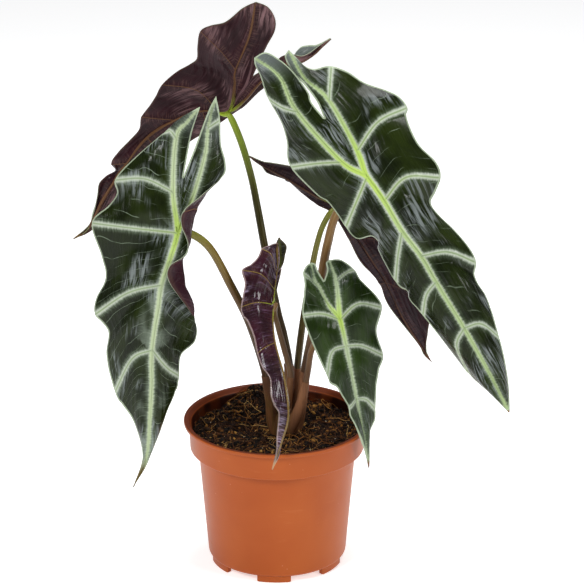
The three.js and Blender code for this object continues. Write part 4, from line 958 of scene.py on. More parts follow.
# The edges that only one face has, as pairs of point numbers.
def openEdges(faces, size):
    loops = [np.concatenate([group, group[:, :1]], 1) for group in faces]
    edges = [np.stack([loop[:, :-1], loop[:, 1:]], -1).reshape(-1, 2) for loop in loops]
    edges = np.concatenate(edges)
    code = edges[:, 0] * size + edges[:, 1]
    return edges[~np.isin(edges[:, 1] * size + edges[:, 0], code)]


# The normal of a sheet at each point: the sum of (c - a) x (d - b) of the faces there, made 1 long.
def sheetNormals(points, faces):
    normals = np.zeros_like(points)
    for group in faces:
        a, b, c, d = (points[group[:, k]] for k in (0, 1, 2, -1))
        area = np.cross(c - a, d - b)
        for corner in group.T:
            np.add.at(normals, corner, area)
    return unit(normals)


# A blade as a closed skin: the sheet of grids, moved half its thickness to both sides along its
# normals. The upper face has a groove along each vein and the lower face a ridge, both of the form
# depth * exp(-(distance / width)^2).
def buildBlade(name, leaf):
    joint = len(leaf["midrib"]) - 1
    seams = {0.0, 1.0}
    for side in leaf["sides"]:
        for row in side["edge"]:
            if row[1] and joint < row[0] < side["notchAt"]:
                seams.add(round((row[0] - joint) / (side["notchAt"] - joint), 6))
    seam = spread(seams, leaf["rows"] * (leaf["sides"][0]["notchAt"] - joint))
    halves = [bladeGrids(leaf, side, seam, k + 1) for k, side in enumerate(leaf["sides"])]
    jointPlace, apexPlace = seen(leaf["midrib"][-1]), seen(leaf["midrib"][0])
    points, faces, columns = [], [], []
    count = 0
    for k, (side, half) in enumerate(zip(leaf["sides"], halves)):
        veins = [spineVein(leaf, each, 0 if each is half else joint) for each in halves]
        veins += [ribVein(leaf, half["outer"], at, share) for at, share in half["ribs"].items()]
        turned = side["hand"] * leaf["faces"] > 0
        grids = [(half["outer"], turned, 0), (half["inner"], not turned, side["notchAt"])]
        for grid, flip, rimFrom in grids:
            quads = gridFaces(*grid["rows"].shape[:2]) + count
            faces.append(quads[:, ::-1] if flip else quads)
            points.append(grid["rows"].reshape(-1, 3))
            columns.append(bladeValues(grid, veins, jointPlace, k + 1, apexPlace, rimFrom))
            count += len(points[-1])
    points = np.concatenate(points)
    values = {key: np.concatenate([column[key] for column in columns]) for key in columns[0]}
    first, quads, triangles = weld(points, np.concatenate(faces))
    points = points[first]
    values = {key: column[first] for key, column in values.items()}

    size = len(points)
    normals = sheetNormals(points, [quads, triangles])
    held = smoothstep(*blade["veinEdge"], values["band"])
    groove = blade["groove"] * held * np.exp(-((values["core"] / blade["grooveWidth"]) ** 2))
    deep = np.where(values["main"] > 0.5, blade["midribDepth"], blade["ribDepth"])
    full, least = blade["ridgeTaper"]
    ends = np.clip(values["apex"] / full, least, 1)
    ridge = deep * ends * held * np.exp(-((values["core"] / blade["ridgeWidth"]) ** 2))
    upper = points + normals * (blade["halfThickness"] - groove)[:, None]
    lower = points - normals * (blade["halfThickness"] + ridge)[:, None]
    rim = openEdges([quads, triangles], size)
    wall = np.stack([rim[:, 1], rim[:, 0], rim[:, 0] + size, rim[:, 1] + size], -1)
    skin = [quads, triangles, quads[:, ::-1] + size, triangles[:, ::-1] + size, wall]
    both = {key: np.concatenate([column, column]) for key, column in values.items()}
    both["under"] = np.repeat([0.0, 1.0], size)
    both["vein"] = np.stack([both.pop("run"), both["core"], both["main"] * traces["mainApart"]], -1)
    return makePiece(f"{name}_blade", np.concatenate([upper, lower]), skin, both)


# The skin of a leaf: dark glossy green above, with pale feathered veins, a thin pale margin, a painted
# sheen beside the midrib and patches of painted highlight; purple below, with brown ribs, fine hairs on
# them and painted sheen and highlights.
def leafPaint(name, look):
    paint = Paint(name)
    band, core, rim = (paint.attribute(key) for key in ("band", "core", "rim"))
    main, glow, under, apex = (paint.attribute(key) for key in ("main", "glow", "under", "apex"))
    vein, weave = paint.attribute("vein", "Vector"), paint.attribute("weave", "Vector")
    row = paint.attribute("row")
    # where each thing shows
    feather = paint.grain(paint.stretch(vein, 0.9, 0.22, 1), 1.0, 3, 0.6) - 0.5
    hairs = paint.grain(paint.stretch(vein, 1.2, 0.1, 1), 1.0, 2).rise(0.48, 0.64)
    hairs = hairs * core.rise(6.5, 1.0)
    cloud = paint.grain(weave, 0.055, 3)
    streak = paint.grain(paint.stretch(weave, *look["grain"], 1), 1.0, 4, 0.6, 0.6)
    warp = (paint.grain(weave, 0.04, 2) - 0.5) * 1.6
    arcs = (row * look["netRows"] + warp).lines(0.03)
    net = arcs * paint.grain(weave, 0.09, 2).rise(*look["netPatches"]) * rim.rise(0.4, 3.0)
    bandMask = (band + feather * 2.0).rise(-1.0, 1.0)
    near = (band + feather * 4.0).rise(-3.2, 0.6)
    # painted sheen: a pale grey zone beside the midrib, in patches, broken up by the hairs and streaks
    midribSheen = (band + feather * 9.0).rise(-13, -1) * main * paint.grain(weave, 0.045, 2).rise(0.44, 0.6)
    midribSheen = midribSheen * (0.5 + hairs * 0.4 + streak * 0.4) * row.rise(*look["midribSheenEnd"])
    halo = near * 0.7 + hairs * 0.3
    middle = core + feather * 0.5
    flesh = middle.rise(2.4, 0.8) * main + middle.rise(1.2, 0.3) * (1 - main) * 0.4
    line = core.rise(0.8, 0.15) * (0.55 - main * 0.43)
    # painted highlight: patches of pale grey streaks
    patch = paint.grain(weave, 0.035, 2).rise(0.5, 0.62)
    paintedHighlight = patch * streak.rise(0.44, 0.64)
    rimMask = (rim + feather * 0.5).rise(1.25, 0.6)
    dryTip = apex.rise(look["dryTip"], look["dryTip"] * 0.4)

    # the upper face
    green = paint.blend(cloud.rise(0.35, 0.7), *look["green"])
    # painted sheen: faint lighter streaks
    green = paint.blend(streak.rise(0.55, 0.85) * look["sheen"], green, look["streak"])
    green = paint.blend(net * look["net"], green, look["netColor"])
    green = paint.blend(halo * look["haloShare"], green, look["halo"])
    # the painted sheen beside the midrib
    green = paint.blend(midribSheen * look["midribSheenShare"], green, look["midribSheen"])
    pale = paint.blend(flesh, look["pale"], look["midrib"])
    pale = paint.blend(glow.rise(*look["jointReach"]) * flesh * 0.95, pale, look["joint"])
    pale = paint.blend(line, pale, look["line"])
    # painted highlight: the patches, then a pale grey band over the lobe tips
    green = paint.blend(paintedHighlight * look["paintedHighlight"], green, look["paintedHighlightColor"])
    green = paint.blend(row.rise(*look["lobeTip"]) * look["tipHighlightShare"], green, look["paintedHighlightColor"])
    green = paint.blend(bandMask * (0.82 + main * 0.1), green, pale)
    green = paint.blend(rimMask * 0.8, green, look["margin"])
    green = paint.blend(dryTip, green, look["dry"])

    # the underside
    dark, light, streaks = look["purple"]
    purple = paint.blend(cloud.rise(0.35, 0.7), dark, light)
    # painted sheen: streaks of the third, lighter purple
    purple = paint.blend(streak.rise(0.5, 0.8) * 0.4, purple, streaks)
    # painted highlight: streaky patches, strongest on the lobe tips
    shine = streak.rise(0.42, 0.66) * (patch * 0.5 + row.rise(*look["lobeTip"])) * look["shine"]
    purple = paint.blend(shine, purple, look["shineColor"])
    purple = paint.blend(net * 0.3, purple, look["underNet"])
    purple = paint.blend(hairs * look["hairShare"], purple, look["underHair"])
    thick = core / (1 + main * 0.7)
    ribMask = (thick + feather * 0.3).rise(look["underWidth"], look["underWidth"] * 0.4)
    ribMask = ribMask * band.rise(-0.8, 0.5)
    purple = paint.blend(ribMask * 0.85, purple, look["underRib"])
    purple = paint.blend(glow.rise(0.6, 0.98) * ribMask, purple, look["underJoint"])
    purple = paint.blend(rimMask * 0.5, purple, look["underMargin"])
    purple = paint.blend(dryTip, purple, look["dry"])

    color = paint.blend(under, green, purple)
    rough = 0.18 + streak * 0.18 + bandMask * 0.2 + under * look["underRough"]
    height = streak * 1.2 - net * 0.2 + bandMask * feather * 0.4 + cloud * 0.6
    return paint.finish(
        Base_Color=color,
        Roughness=rough,
        Normal=paint.bump(height, look["bump"] * mm),
        Coat_Weight=look["coat"],
        Coat_Roughness=look["coatRoughness"],
        Specular_IOR_Level=look["specular"],
    )


leafLook = {
    "green": [(16, 23, 4), (33, 43, 10)],
    "grain": (0.5, 0.06),
    # the colour and the share of the painted sheen streaks
    "streak": (46, 58, 34),
    "sheen": 0.25,
    # painted highlight: its share and colour, and the rows and share of its band on the lobe tips
    "paintedHighlight": 0.62,
    "paintedHighlightColor": (142, 150, 150),
    "lobeTip": (9.7, 11.0),
    "tipHighlightShare": 0.4,
    "netColor": (134, 150, 126),
    "net": 0.38,
    "netPatches": (0.46, 0.62),
    "netRows": 2.3,
    "halo": (96, 112, 86),
    "haloShare": 0.6,
    # the painted sheen beside the midrib: its colour, its share and the rows over which it ends
    "midribSheen": (122, 134, 118),
    "midribSheenShare": 0.0,
    "midribSheenEnd": (8.8, 7.8),
    "pale": (196, 205, 188),
    "midrib": (172, 192, 138),
    "joint": (186, 216, 98),
    "jointReach": (0.1, 0.8),
    "line": (98, 126, 68),
    "margin": (172, 186, 158),
    # the third purple is the colour of painted sheen streaks
    "purple": [(34, 15, 18), (50, 25, 29), (72, 46, 52)],
    # painted highlight on the underside: its share and colour
    "shine": 0.3,
    "shineColor": (116, 92, 98),
    "underNet": (84, 54, 42),
    "underRib": (118, 84, 48),
    "underHair": (96, 64, 52),
    "hairShare": 0.4,
    "underJoint": (140, 156, 48),
    "underMargin": (84, 60, 52),
    "underWidth": 0.36,
    "underRough": 0.06,
    "coat": 0.16,
    "coatRoughness": 0.13,
    "specular": 0.08,
    "bump": 0.6,
    "dryTip": 3.0,
    "dry": (120, 82, 48),
}
leafLooks = {  # what differs on each leaf
    "right": {},
    "left": {
        "dryTip": 26.0, "dry": (92, 78, 34), "tipHighlightShare": 0.12, "jointReach": (0.3, 0.9),
        "net": 0.6, "netRows": 3.4, "netPatches": (0.36, 0.52), "midrib": (184, 199, 158),
        "haloShare": 0.8, "halo": (112, 126, 104), "midribSheenShare": 0.85,
        "purple": [(46, 18, 28), (62, 28, 38), (84, 52, 62)],
    },
    "back_left": {
        "dryTip": 9.0, "dry": (108, 84, 40), "coat": 0.1, "lobeTip": (9.9, 10.9),
        "shine": 0.7, "shineColor": (158, 122, 124), "underWidth": 0.3,
        "purple": [(36, 16, 20), (50, 24, 30), (70, 44, 48)],
        "underRib": (104, 72, 44), "underHair": (112, 80, 72),
    },
    "back_right": {
        "dryTip": 10.0, "dry": (96, 58, 34), "purple": [(27, 14, 20), (39, 22, 29), (60, 44, 54)],
        "underRib": (84, 58, 42), "underWidth": 0.3,
    },
    "small": {
        "dryTip": 8.0, "dry": (112, 70, 40), "green": [(23, 36, 7), (41, 59, 18)], "paintedHighlight": 0.2,
        "jointReach": (0.5, 0.98), "midrib": (182, 198, 160),
    },
    "curled": {
        # its third purple and its shine are painted lavender highlights
        "purple": [(33, 10, 18), (52, 17, 30), (140, 108, 142)], "coat": 0.4,
        "grain": (0.1, 0.7), "bump": 1.1, "shine": 1.0, "shineColor": (190, 172, 200),
        "dryTip": 9.0, "dry": (186, 150, 110),
        "underMargin": (190, 164, 160), "underRib": (128, 104, 50),
        "green": [(28, 24, 12), (44, 42, 20)], "paintedHighlight": 0.1, "halo": (48, 46, 24),
        "pale": (74, 72, 40), "midrib": (92, 92, 44), "joint": (104, 108, 44), "margin": (84, 76, 54),
    },
}
bladeShape = {
    "right": {"rows": 26, "midribWidth": 2.9, "ribWidth": 1.9, "quilt": 2.2},
    "left": {"rows": 20, "midribWidth": 2.5, "ribWidth": 1.7, "quilt": 1.8},
    "back_left": {"rows": 20, "midribWidth": 2.0, "ribWidth": 1.5, "quilt": 2.6},
    "back_right": {"rows": 22, "midribWidth": 2.0, "ribWidth": 1.4, "quilt": 1.5},
    "small": {"rows": 22, "midribWidth": 2.1, "ribWidth": 1.6, "quilt": 1.7},
    "curled": {"rows": 20, "midribWidth": 1.8, "ribWidth": 1.2, "quilt": 1.5},
}
for name, leaf in leaves.items():
    leaf |= bladeShape[name]
    piece = buildBlade(name, leaf)
    skin = leafPaint(f"{name}_skin", leafLook | leafLooks[name])
    dress(piece, skin, [f"leaf_{name}"])
    print("blade", name, len(piece.data.polygons), "faces")


# A centripetal curve through points: between two points the cubic whose slopes are those of the
# parabolas through three neighbours, with knots sqrt(distance) apart; given as `count` points that
# lie evenly along it.
def smoothPath(points, count):
    points = np.asarray(points, float)
    points = np.concatenate([2 * points[:1] - points[1:2], points, 2 * points[-1:] - points[-2:-1]])
    steps = np.linalg.norm(np.diff(points, axis=0), axis=1)
    knot = np.concatenate([[0], np.cumsum(np.sqrt(steps))])
    gap = np.diff(knot)[:, None]
    rise = np.diff(points, axis=0) / gap
    slope = rise[:-1] + rise[1:] - (points[2:] - points[:-2]) / (gap[:-1] + gap[1:])
    inner, at = points[1:-1], knot[1:-1]
    fine = np.linspace(at[0], at[-1], 40 * len(inner))  # about 40 steps from point to point
    i = np.clip(np.searchsorted(at, fine, side="right") - 1, 0, len(inner) - 2)
    span = (at[i + 1] - at[i])[:, None]
    f = (fine - at[i])[:, None] / span
    curve = cubic(f, span, inner[i], inner[i + 1], slope[i], slope[i + 1])
    run = lengthAlong(curve)
    even = np.linspace(0, run[-1], count)
    return np.stack([np.interp(even, run, curve[:, k]) for k in range(3)], -1)


# Closed round tubes, one for each path: centre + radius * (cos a * side + sin a * top), where side
# and top are square to the path. Returns points, faces and the share of the way along.
def tubes(paths, radii, sides):
    paths = np.asarray(paths, float)
    count, steps = paths.shape[:2]
    run = unit(np.gradient(paths, axis=1))
    lead = unit(run.mean(axis=1, keepdims=True))
    spare = np.where(np.abs(lead[..., 2:]) > 0.8, [[[0.0, 1.0, 0.0]]], [[[0.0, 0.0, 1.0]]])
    side = unit(np.cross(run, spare))
    top = np.cross(side, run)
    a = np.linspace(0, 2 * np.pi, sides, endpoint=False)
    ring = np.cos(a)[:, None] * side[:, :, None] + np.sin(a)[:, None] * top[:, :, None]
    skin = paths[:, :, None] + np.asarray(radii)[..., None, None] * ring
    body = gridFaces(steps, sides, closed=True)
    size = steps * sides + 2
    ends = np.stack([paths[:, 0], paths[:, -1]], 1)
    points = np.concatenate([skin.reshape(count, -1, 3), ends], 1).reshape(-1, 3)
    k = np.arange(sides)
    final = (steps - 1) * sides
    low = np.stack([np.full(sides, size - 2), k, (k + 1) % sides], -1)
    high = np.stack([np.full(sides, size - 1), final + (k + 1) % sides, final + k], -1)
    shift = (np.arange(count) * size)[:, None, None]
    quads = (body + shift).reshape(-1, 4)
    caps = (np.concatenate([low, high]) + shift).reshape(-1, 3)
    share = np.linspace(0, 1, steps).repeat(sides)
    share = np.tile(np.concatenate([share, [0, 1]]), count)
    return points, [quads, caps], share


stalk = {
    "steps": 150,
    "sides": 28,
    "thinFrom": 0.93,  # of the way up, where it starts to run out under the blade
    "thinBy": 0.72,
    "swell": 0.02,
    "swells": 23,
    "under": [0.0, 0.12, 0.3, 0.55],  # rows past the joint
    "sunk": [1.0, 0.95, 0.7, 0.3],  # how deep there, in radii of the tip
}


# The path of a leaf stem: from its foot in the crown up to the joint, then on a little under the
# midrib, `sunk` below the middle of the blade, where it thins out.
def stemPath(leaf):
    points = seen(leaf["stem"]["points"])
    spine = spineOf(leaf, leaf["sides"][0])
    n = len(leaf["midrib"]) - 1 - np.array(stalk["under"])
    under = spine(n)
    run = unit(under[-1] - under[0])
    margins = [seen(side["edge"][len(side["edge"]) // 2][2]) for side in leaf["sides"]]
    across = margins[1] - margins[0]
    down = unit(np.cross(across, run)) * leaf["faces"]
    down = -down if (down[1] < 0) == (leaf["faces"] > 0) else down
    sunk = leaf["stem"]["tip"] * np.array(stalk["sunk"]) + 0.15
    return np.concatenate([points, under + down * sunk[:, None]])


stemLook = {
    "right": [(0, (92, 60, 42)), (0.35, (104, 72, 42)), (0.75, (120, 88, 44)), (1, (138, 122, 56))],
    "left": [(0, (58, 36, 24)), (0.4, (62, 39, 20)), (0.6, (88, 62, 26)), (0.78, (112, 92, 34)),
             (0.93, (126, 130, 46)), (1, (142, 162, 54))],
    "back_left": [(0, (50, 30, 20)), (0.3, (52, 34, 16)), (0.5, (56, 44, 14)), (0.7, (70, 66, 18)),
                  (0.86, (116, 134, 38)), (1, (158, 184, 44))],
    "back_right": [(0, (62, 42, 24)), (0.4, (82, 66, 24)), (0.7, (96, 92, 24)), (1, (104, 112, 28))],
    "small": [(0, (106, 70, 50)), (0.5, (118, 84, 56)), (1, (136, 112, 60))],
    "curled": [(0, (86, 58, 40)), (0.5, (104, 74, 46)), (1, (112, 82, 46))],
}


# Smooth flesh with fine lines that follow the stem, coloured by the share of the way up it.
def stemPaint(name, stops):
    paint = Paint(name)
    way = paint.attribute("way")
    fibre = paint.attribute("fibre", "Vector")
    lines = paint.grain(paint.stretch(fibre, 2.2, 2.2, 0.06), 1.0, 3)
    patch = paint.grain(paint.stretch(fibre, 0.25, 0.25, 0.05), 1.0, 2)
    color = paint.ramp(way + (patch - 0.5) * 0.16, stops)
    color = paint.blend(lines.rise(0.45, 0.75) * 0.3, color, (70, 48, 30))
    color = paint.blend(lines.rise(0.5, 0.25) * 0.16, color, (214, 206, 150))
    return paint.finish(
        Base_Color=color,
        Roughness=0.34 + lines * 0.18,
        Normal=paint.bump(lines, 0.12 * mm),
        Specular_IOR_Level=0.2,
        Coat_Weight=0.1,
        Coat_Roughness=0.25,
    )


# A stalk: a tube that narrows evenly from its base to its tip, with slight swells.
def buildStalk(name, leaf):
    stem = leaf["stem"]
    path = smoothPath(stemPath(leaf), stalk["steps"])
    share = np.linspace(0, 1, len(path))
    radius = stem["base"] + (stem["tip"] - stem["base"]) * np.minimum(share / stalk["thinFrom"], 1)
    radius = radius * (1 - stalk["thinBy"] * smoothstep(stalk["thinFrom"], 1, share))
    radius = radius * (1 + stalk["swell"] * np.sin(stalk["swells"] * share))
    points, faces, way = tubes([path], [radius], stalk["sides"])
    turn = np.linspace(0, 2 * np.pi, stalk["sides"], endpoint=False)
    turn = np.concatenate([np.tile(turn, len(path)), [0, 0]])
    length = way * lengthAlong(path)[-1]
    fibre = np.stack([stem["base"] * np.cos(turn), stem["base"] * np.sin(turn), length], -1)
    return makePiece(f"{name}_stalk", points, faces, {"way": way, "fibre": fibre})


for name, leaf in leaves.items():
    flesh = stemPaint(f"{name}_flesh", stemLook[name])
    dress(buildStalk(name, leaf), flesh, [f"stem_{name}"])
print("six stalks")

trunk = {
    "x": 6.4, "y": 2, "bottom": 76, "top": 103, "radius": 10.2, "steps": 40, "sides": 36,
    "shoulder": 0.24, "shoulderFrom": 0.62, "foot": 0.16, "footTo": 0.3,
    "sheathRise": 4,  # a sheath starts this far up the trunk,
    "sheathOut": 0.6,  # and this share of the way out to the foot of its stem
    "sheathWall": 2.0, "sheathThins": 0.92, "voxel": 0.45, "smoothing": (0.5, 5),
}


# The crown: a short stout stem with a sheath round the foot of each leaf stem, melted together. A
# sheath is a tube whose radius falls from stem + wall to just over the stem's at its top.
def buildTrunk():
    height = np.linspace(0, 1, trunk["steps"])
    narrow = trunk["shoulder"] * smoothstep(trunk["shoulderFrom"], 1, height)
    bulge = trunk["radius"] * (1 - narrow - trunk["foot"] * smoothstep(trunk["footTo"], 0, height))
    bottom = np.array([trunk["x"], trunk["y"], trunk["bottom"]])
    rise = [0, 0, trunk["top"] - trunk["bottom"]]
    paths, radii = [bottom + np.outer(height, rise)], [bulge]
    for leaf in leaves.values():
        stem = leaf["stem"]
        heights = np.array(stem["points"])[:, 1]
        above = int(np.argmax(heights > stem["sheathTop"]))
        a, b = np.array(stem["points"][above - 1]), np.array(stem["points"][above])
        end = a + (b - a) * (stem["sheathTop"] - a[1]) / (b[1] - a[1])
        foot = seen(stem["points"][0])
        start = bottom + [0, 0, trunk["sheathRise"]]
        start = start + (foot - start) * trunk["sheathOut"]
        path = np.concatenate([[start, foot], seen([*stem["points"][1:above], end])])
        paths.append(smoothPath(path, trunk["steps"]))
        radii.append(stem["base"] + trunk["sheathWall"] * (1 - trunk["sheathThins"] * height**1.6))
    points, faces, _ = tubes(paths, radii, trunk["sides"])
    piece = makePiece("crown_trunk", points, faces)
    melt = piece.modifiers.new("melt", "REMESH")
    melt.mode, melt.voxel_size = "VOXEL", trunk["voxel"] * mm
    ease = piece.modifiers.new("ease", "SMOOTH")
    ease.factor, ease.iterations = trunk["smoothing"]
    settle(piece)
    return piece


# Brown sheath skin with upright fibres, olive where it is fresher, and darkened in its folds as painted
# shade.
def trunkPaint():
    paint = Paint("sheath_skin")
    place = paint.place()
    fibres = paint.grain(paint.stretch(place, 900, 900, 45), 1.0, 4, 0.6)
    streaks = paint.grain(paint.stretch(place, 170, 170, 14), 1.0, 3)
    blots = paint.grain(place, 70, 3)
    split = paint.add("ShaderNodeSeparateXYZ", None, {0: place})
    right = Value(paint, split.outputs[0]) / mm - float(axis[0])
    high = Value(paint, split.outputs[2]) / mm
    stops = [(0.3, (48, 27, 17)), (0.45, (78, 48, 30)), (0.55, (96, 68, 34)), (0.7, (118, 78, 48))]
    color = paint.ramp(streaks, stops)
    color = paint.blend(high.rise(96, 136) * 0.5, color, (104, 68, 42))
    color = paint.blend(right.rise(4, 15) * 0.75, color, (160, 110, 76))
    color = paint.blend(fibres.rise(0.45, 0.75) * 0.4, color, (34, 20, 14))
    color = paint.blend(blots.rise(0.6, 0.74) * 0.3, color, (112, 80, 56))
    return paint.finish(
        Specular_IOR_Level=0.2,
        Base_Color=color,
        Roughness=0.42 + fibres * 0.25,
        Normal=paint.bump(fibres * 0.6 + streaks, 0.5 * mm),
    )


dress(buildTrunk(), trunkPaint(), ["crown"])
print("crown")

pot = {
    "rim": 62, "height": 100, "lipHeight": 2.4, "lipWidth": 2.7, "lipBevel": 0.5,
    "bandTop": 58.7, "bandFoot": 57.9, "bandHeight": 19.8, "shoulder": 52.5,
    "base": 46.6, "baseTop": 11, "bevel": 1.4, "draft": 0.4, "wall": 1.8, "floor": 2.2,
    "floorCorner": 0.6, "bandStep": (1, 2.4), "lipUnder": 0.8,
    "feet": 6, "footHeight": 4.5, "footHalfWidth": 11.3, "footDepth": 3.4, "footInset": 2,
    "footTurn": -2.5, "footSunk": 0.6, "footSteps": 30, "footArcs": [0.5, 0.5, 0.1, 0.05, 0.05],
    "roundedTo": 3,  # a foot's ends are rounded up to this height
    "endSize": 0.86, "endEase": 0.012,  # a foot's size at its ends, and the angle it grows over
    "drain": 4, "drainRing": 35, "drainSides": 32, "drainPast": 2,
    "around": 216, "turn": 0.013,  # keeps the wall's edges off those of the feet
    "sharpFrom": 38,  # degrees
}
bandFoot = pot["height"] - pot["bandHeight"]
lipFoot = pot["height"] - pot["lipHeight"]
inside = [  # the inner wall, from the floor up: radius and height
    [pot["base"] - pot["wall"] - pot["floorCorner"], pot["footHeight"] + pot["floor"]],
    [pot["shoulder"] - pot["wall"], bandFoot + pot["bandStep"][0]],
    [pot["bandFoot"] - pot["wall"], bandFoot + pot["bandStep"][1]],
    [pot["bandTop"] - pot["wall"], lipFoot - pot["lipUnder"]],
    [pot["rim"] - pot["lipWidth"], pot["height"]],
]


# A profile whose corners are replaced by arcs: (1 - s)^2 a + 2 s (1 - s) corner + s^2 b, where a and
# b lie `radius` from the corner on its two sides.
def rounded(corners, radius, steps=6):
    corners, radius = np.asarray(corners, float), np.asarray(radius, float)[:, None]
    middle, back, on = corners[1:-1], corners[:-2] - corners[1:-1], corners[2:] - corners[1:-1]
    reach = lambda way: unit(way) * np.minimum(radius, 0.45 * np.linalg.norm(way, axis=1)[:, None])
    a, b = (middle + reach(back))[:, None], (middle + reach(on))[:, None]
    s = np.linspace(0, 1, steps)[None, :, None]
    arcs = (1 - s) ** 2 * a + 2 * s * (1 - s) * middle[:, None] + s**2 * b
    return np.concatenate([corners[:1], arcs.reshape(-1, 2), corners[-1:]])


# A profile of radius and height turned about the pot's axis: (r cos a, r sin a, z).
def lathe(profile, around, turn=0.0):
    a = np.linspace(0, 2 * np.pi, around, endpoint=False) + turn
    r, z = profile[:, :1], profile[:, 1:]
    points = np.stack([r * np.cos(a), r * np.sin(a), z + 0 * a], -1).reshape(-1, 3)
    first, quads, triangles = weld(points, gridFaces(len(profile), around, closed=True))
    return points[first], quads, triangles


# A foot: a block with rounded corners, bent round the pot's axis from angle -half to +half.
def footBlock(middle):
    outer = pot["base"] - pot["footInset"]
    half = math.asin(pot["footHalfWidth"] / outer)
    back, top, seam = outer - pot["footDepth"], pot["footHeight"] + pot["footSunk"], pot["roundedTo"]
    corners = [[outer, seam], [outer, 0], [back, 0], [back, seam], [back, top], [outer, top]]
    section = rounded([*corners, corners[0]], pot["footArcs"], 4)[:-1]
    a = np.linspace(-half, half, pot["footSteps"])
    ease = np.clip((half - np.abs(a)) / pot["endEase"], 0, 1)
    size = pot["endSize"] + (1 - pot["endSize"]) * np.sqrt(ease)
    inner = section.mean(0)
    ring = inner + (section - inner) * size[:, None, None]
    ring[:, :, 1] = np.where(section[:, 1] > seam, section[:, 1], ring[:, :, 1])
    angle = (a + middle)[:, None]
    points = np.stack([ring[..., 0] * np.cos(angle), ring[..., 0] * np.sin(angle), ring[..., 1]], -1)
    count = len(section)
    front = np.arange(count)[None]
    back = (front + (len(a) - 1) * count)[:, ::-1]
    return points.reshape(-1, 3), [gridFaces(len(a), count, closed=True), front, back]


# The body joined with the tool, or with the tool's room cut out of it; the tool is then gone.
def cut(body, tool, how):
    step = body.modifiers.new("step", "BOOLEAN")
    step.operation, step.solver, step.object = how, "EXACT", tool
    settle(body)
    bpy.data.objects.remove(tool)


# The pot: the turned wall and floor, joined with six feet and pierced by six drain holes.
def buildPot():
    foot = pot["base"] - pot["draft"]
    wall = [
        [0, pot["footHeight"]],
        [foot - pot["bevel"], pot["footHeight"]],
        [foot, pot["footHeight"] + pot["bevel"]],
        [pot["base"], pot["baseTop"]],
        [pot["shoulder"], bandFoot],
        [pot["bandFoot"], bandFoot],
        [pot["bandTop"], lipFoot],
        [pot["rim"] - 0.5 * pot["lipBevel"], lipFoot],
        [pot["rim"], lipFoot + pot["lipBevel"]],
        [pot["rim"], pot["height"] - pot["lipBevel"]],
        [pot["rim"] - pot["lipBevel"], pot["height"]],
        *inside[::-1],
        [0, pot["footHeight"] + pot["floor"]],
    ]
    # the radius of each corner's arc, from the second corner to the last but one
    arcs = [0.8, 0.9, 2, 0.9, 1.1, 0.7, 0.3, 0.4, 0.5, 0.5, 0.6, 1.2, 1, 1.5, 2]
    points, quads, triangles = lathe(rounded(wall, arcs), pot["around"], pot["turn"])
    body = makePiece("nursery_pot", points, [quads, triangles])
    pitch = 2 * math.pi / pot["feet"]
    for k in range(pot["feet"]):
        middle = -math.pi / 2 + math.radians(pot["footTurn"]) + k * pitch
        cut(body, makePiece("foot", *footBlock(middle)), "UNION")
        angle = middle + pitch / 2
        place = [pot["drainRing"] * math.cos(angle), pot["drainRing"] * math.sin(angle)]
        low = pot["footHeight"] - pot["drainPast"]
        high = pot["footHeight"] + pot["floor"] + pot["drainPast"]
        path = np.linspace([*place, low], [*place, high], 4)
        points, faces, _ = tubes([path], [np.full(len(path), pot["drain"])], pot["drainSides"])
        cut(body, makePiece("drain", points, faces), "DIFFERENCE")
    body.data.set_sharp_from_angle(angle=math.radians(pot["sharpFrom"]))
    return body


# Moulded terracotta-coloured plastic: cloudy colour, faint specks and rubbed spots, satin finish. The
# top of the lip and the wall inside the band are darkened with painted shade, mottled on the wall.
def potPaint():
    paint = Paint("terracotta_plastic")
    place = paint.place()
    cloud = paint.grain(place, 16, 3)
    fine = paint.grain(place, 900, 2)
    specks = paint.cells(place, 150).rise(0.075, 0.03) * paint.grain(place, 60, 1).rise(0.52, 0.62)
    rubs = paint.grain(paint.stretch(place, 60, 60, 260), 1.0, 3).rise(0.62, 0.8)
    color = paint.blend(cloud.rise(0.3, 0.7), (160, 74, 24), (170, 84, 31))
    color = paint.blend(rubs * 0.2, color, (188, 112, 66))
    color = paint.blend(specks * 0.5, color, (206, 150, 112))
    sockets = {0: place, 1: tuple(axis * mm)}
    away = paint.add("ShaderNodeVectorMath", {"operation": "SUBTRACT"}, sockets)
    flat = paint.stretch(Value(paint, away.outputs[0]), 1 / mm, 1 / mm, 0)
    length = paint.add("ShaderNodeVectorMath", {"operation": "LENGTH"}, {0: flat})
    radius = Value(paint, length.outputs[1])
    split = paint.add("ShaderNodeSeparateXYZ", None, {0: place})
    high = Value(paint, split.outputs[2]) / mm
    # noise that mottles the painted shade inside the band
    shadeMottle = paint.grain(paint.stretch(place, 90, 90, 30), 1.0, 3).rise(0.3, 0.6)
    # painted shade on the top of the lip, inward of its outer edge
    lipShade = radius.rise(pot["rim"] - 0.2, pot["rim"] - 0.8) * high.rise(lipFoot - 0.2, lipFoot + 0.2)
    color = paint.blend(lipShade * 0.85, color, (98, 42, 22))
    # painted shade on the wall inside the band
    inner = radius.rise(pot["bandFoot"] - 0.3, pot["bandFoot"] - 0.9)
    inner = inner * high.rise(bandFoot + 1, bandFoot + 2)
    color = paint.blend(inner * (0.7 + shadeMottle * 0.3), color, (52, 19, 10))
    return paint.finish(
        Base_Color=color,
        Roughness=0.36 + fine * 0.08 + rubs * 0.12,
        Normal=paint.bump(fine * 0.5 + cloud, 0.06 * mm),
        Specular_IOR_Level=0.2,
    )


dress(buildPot(), potPaint(), ["pot"])
print("pot")

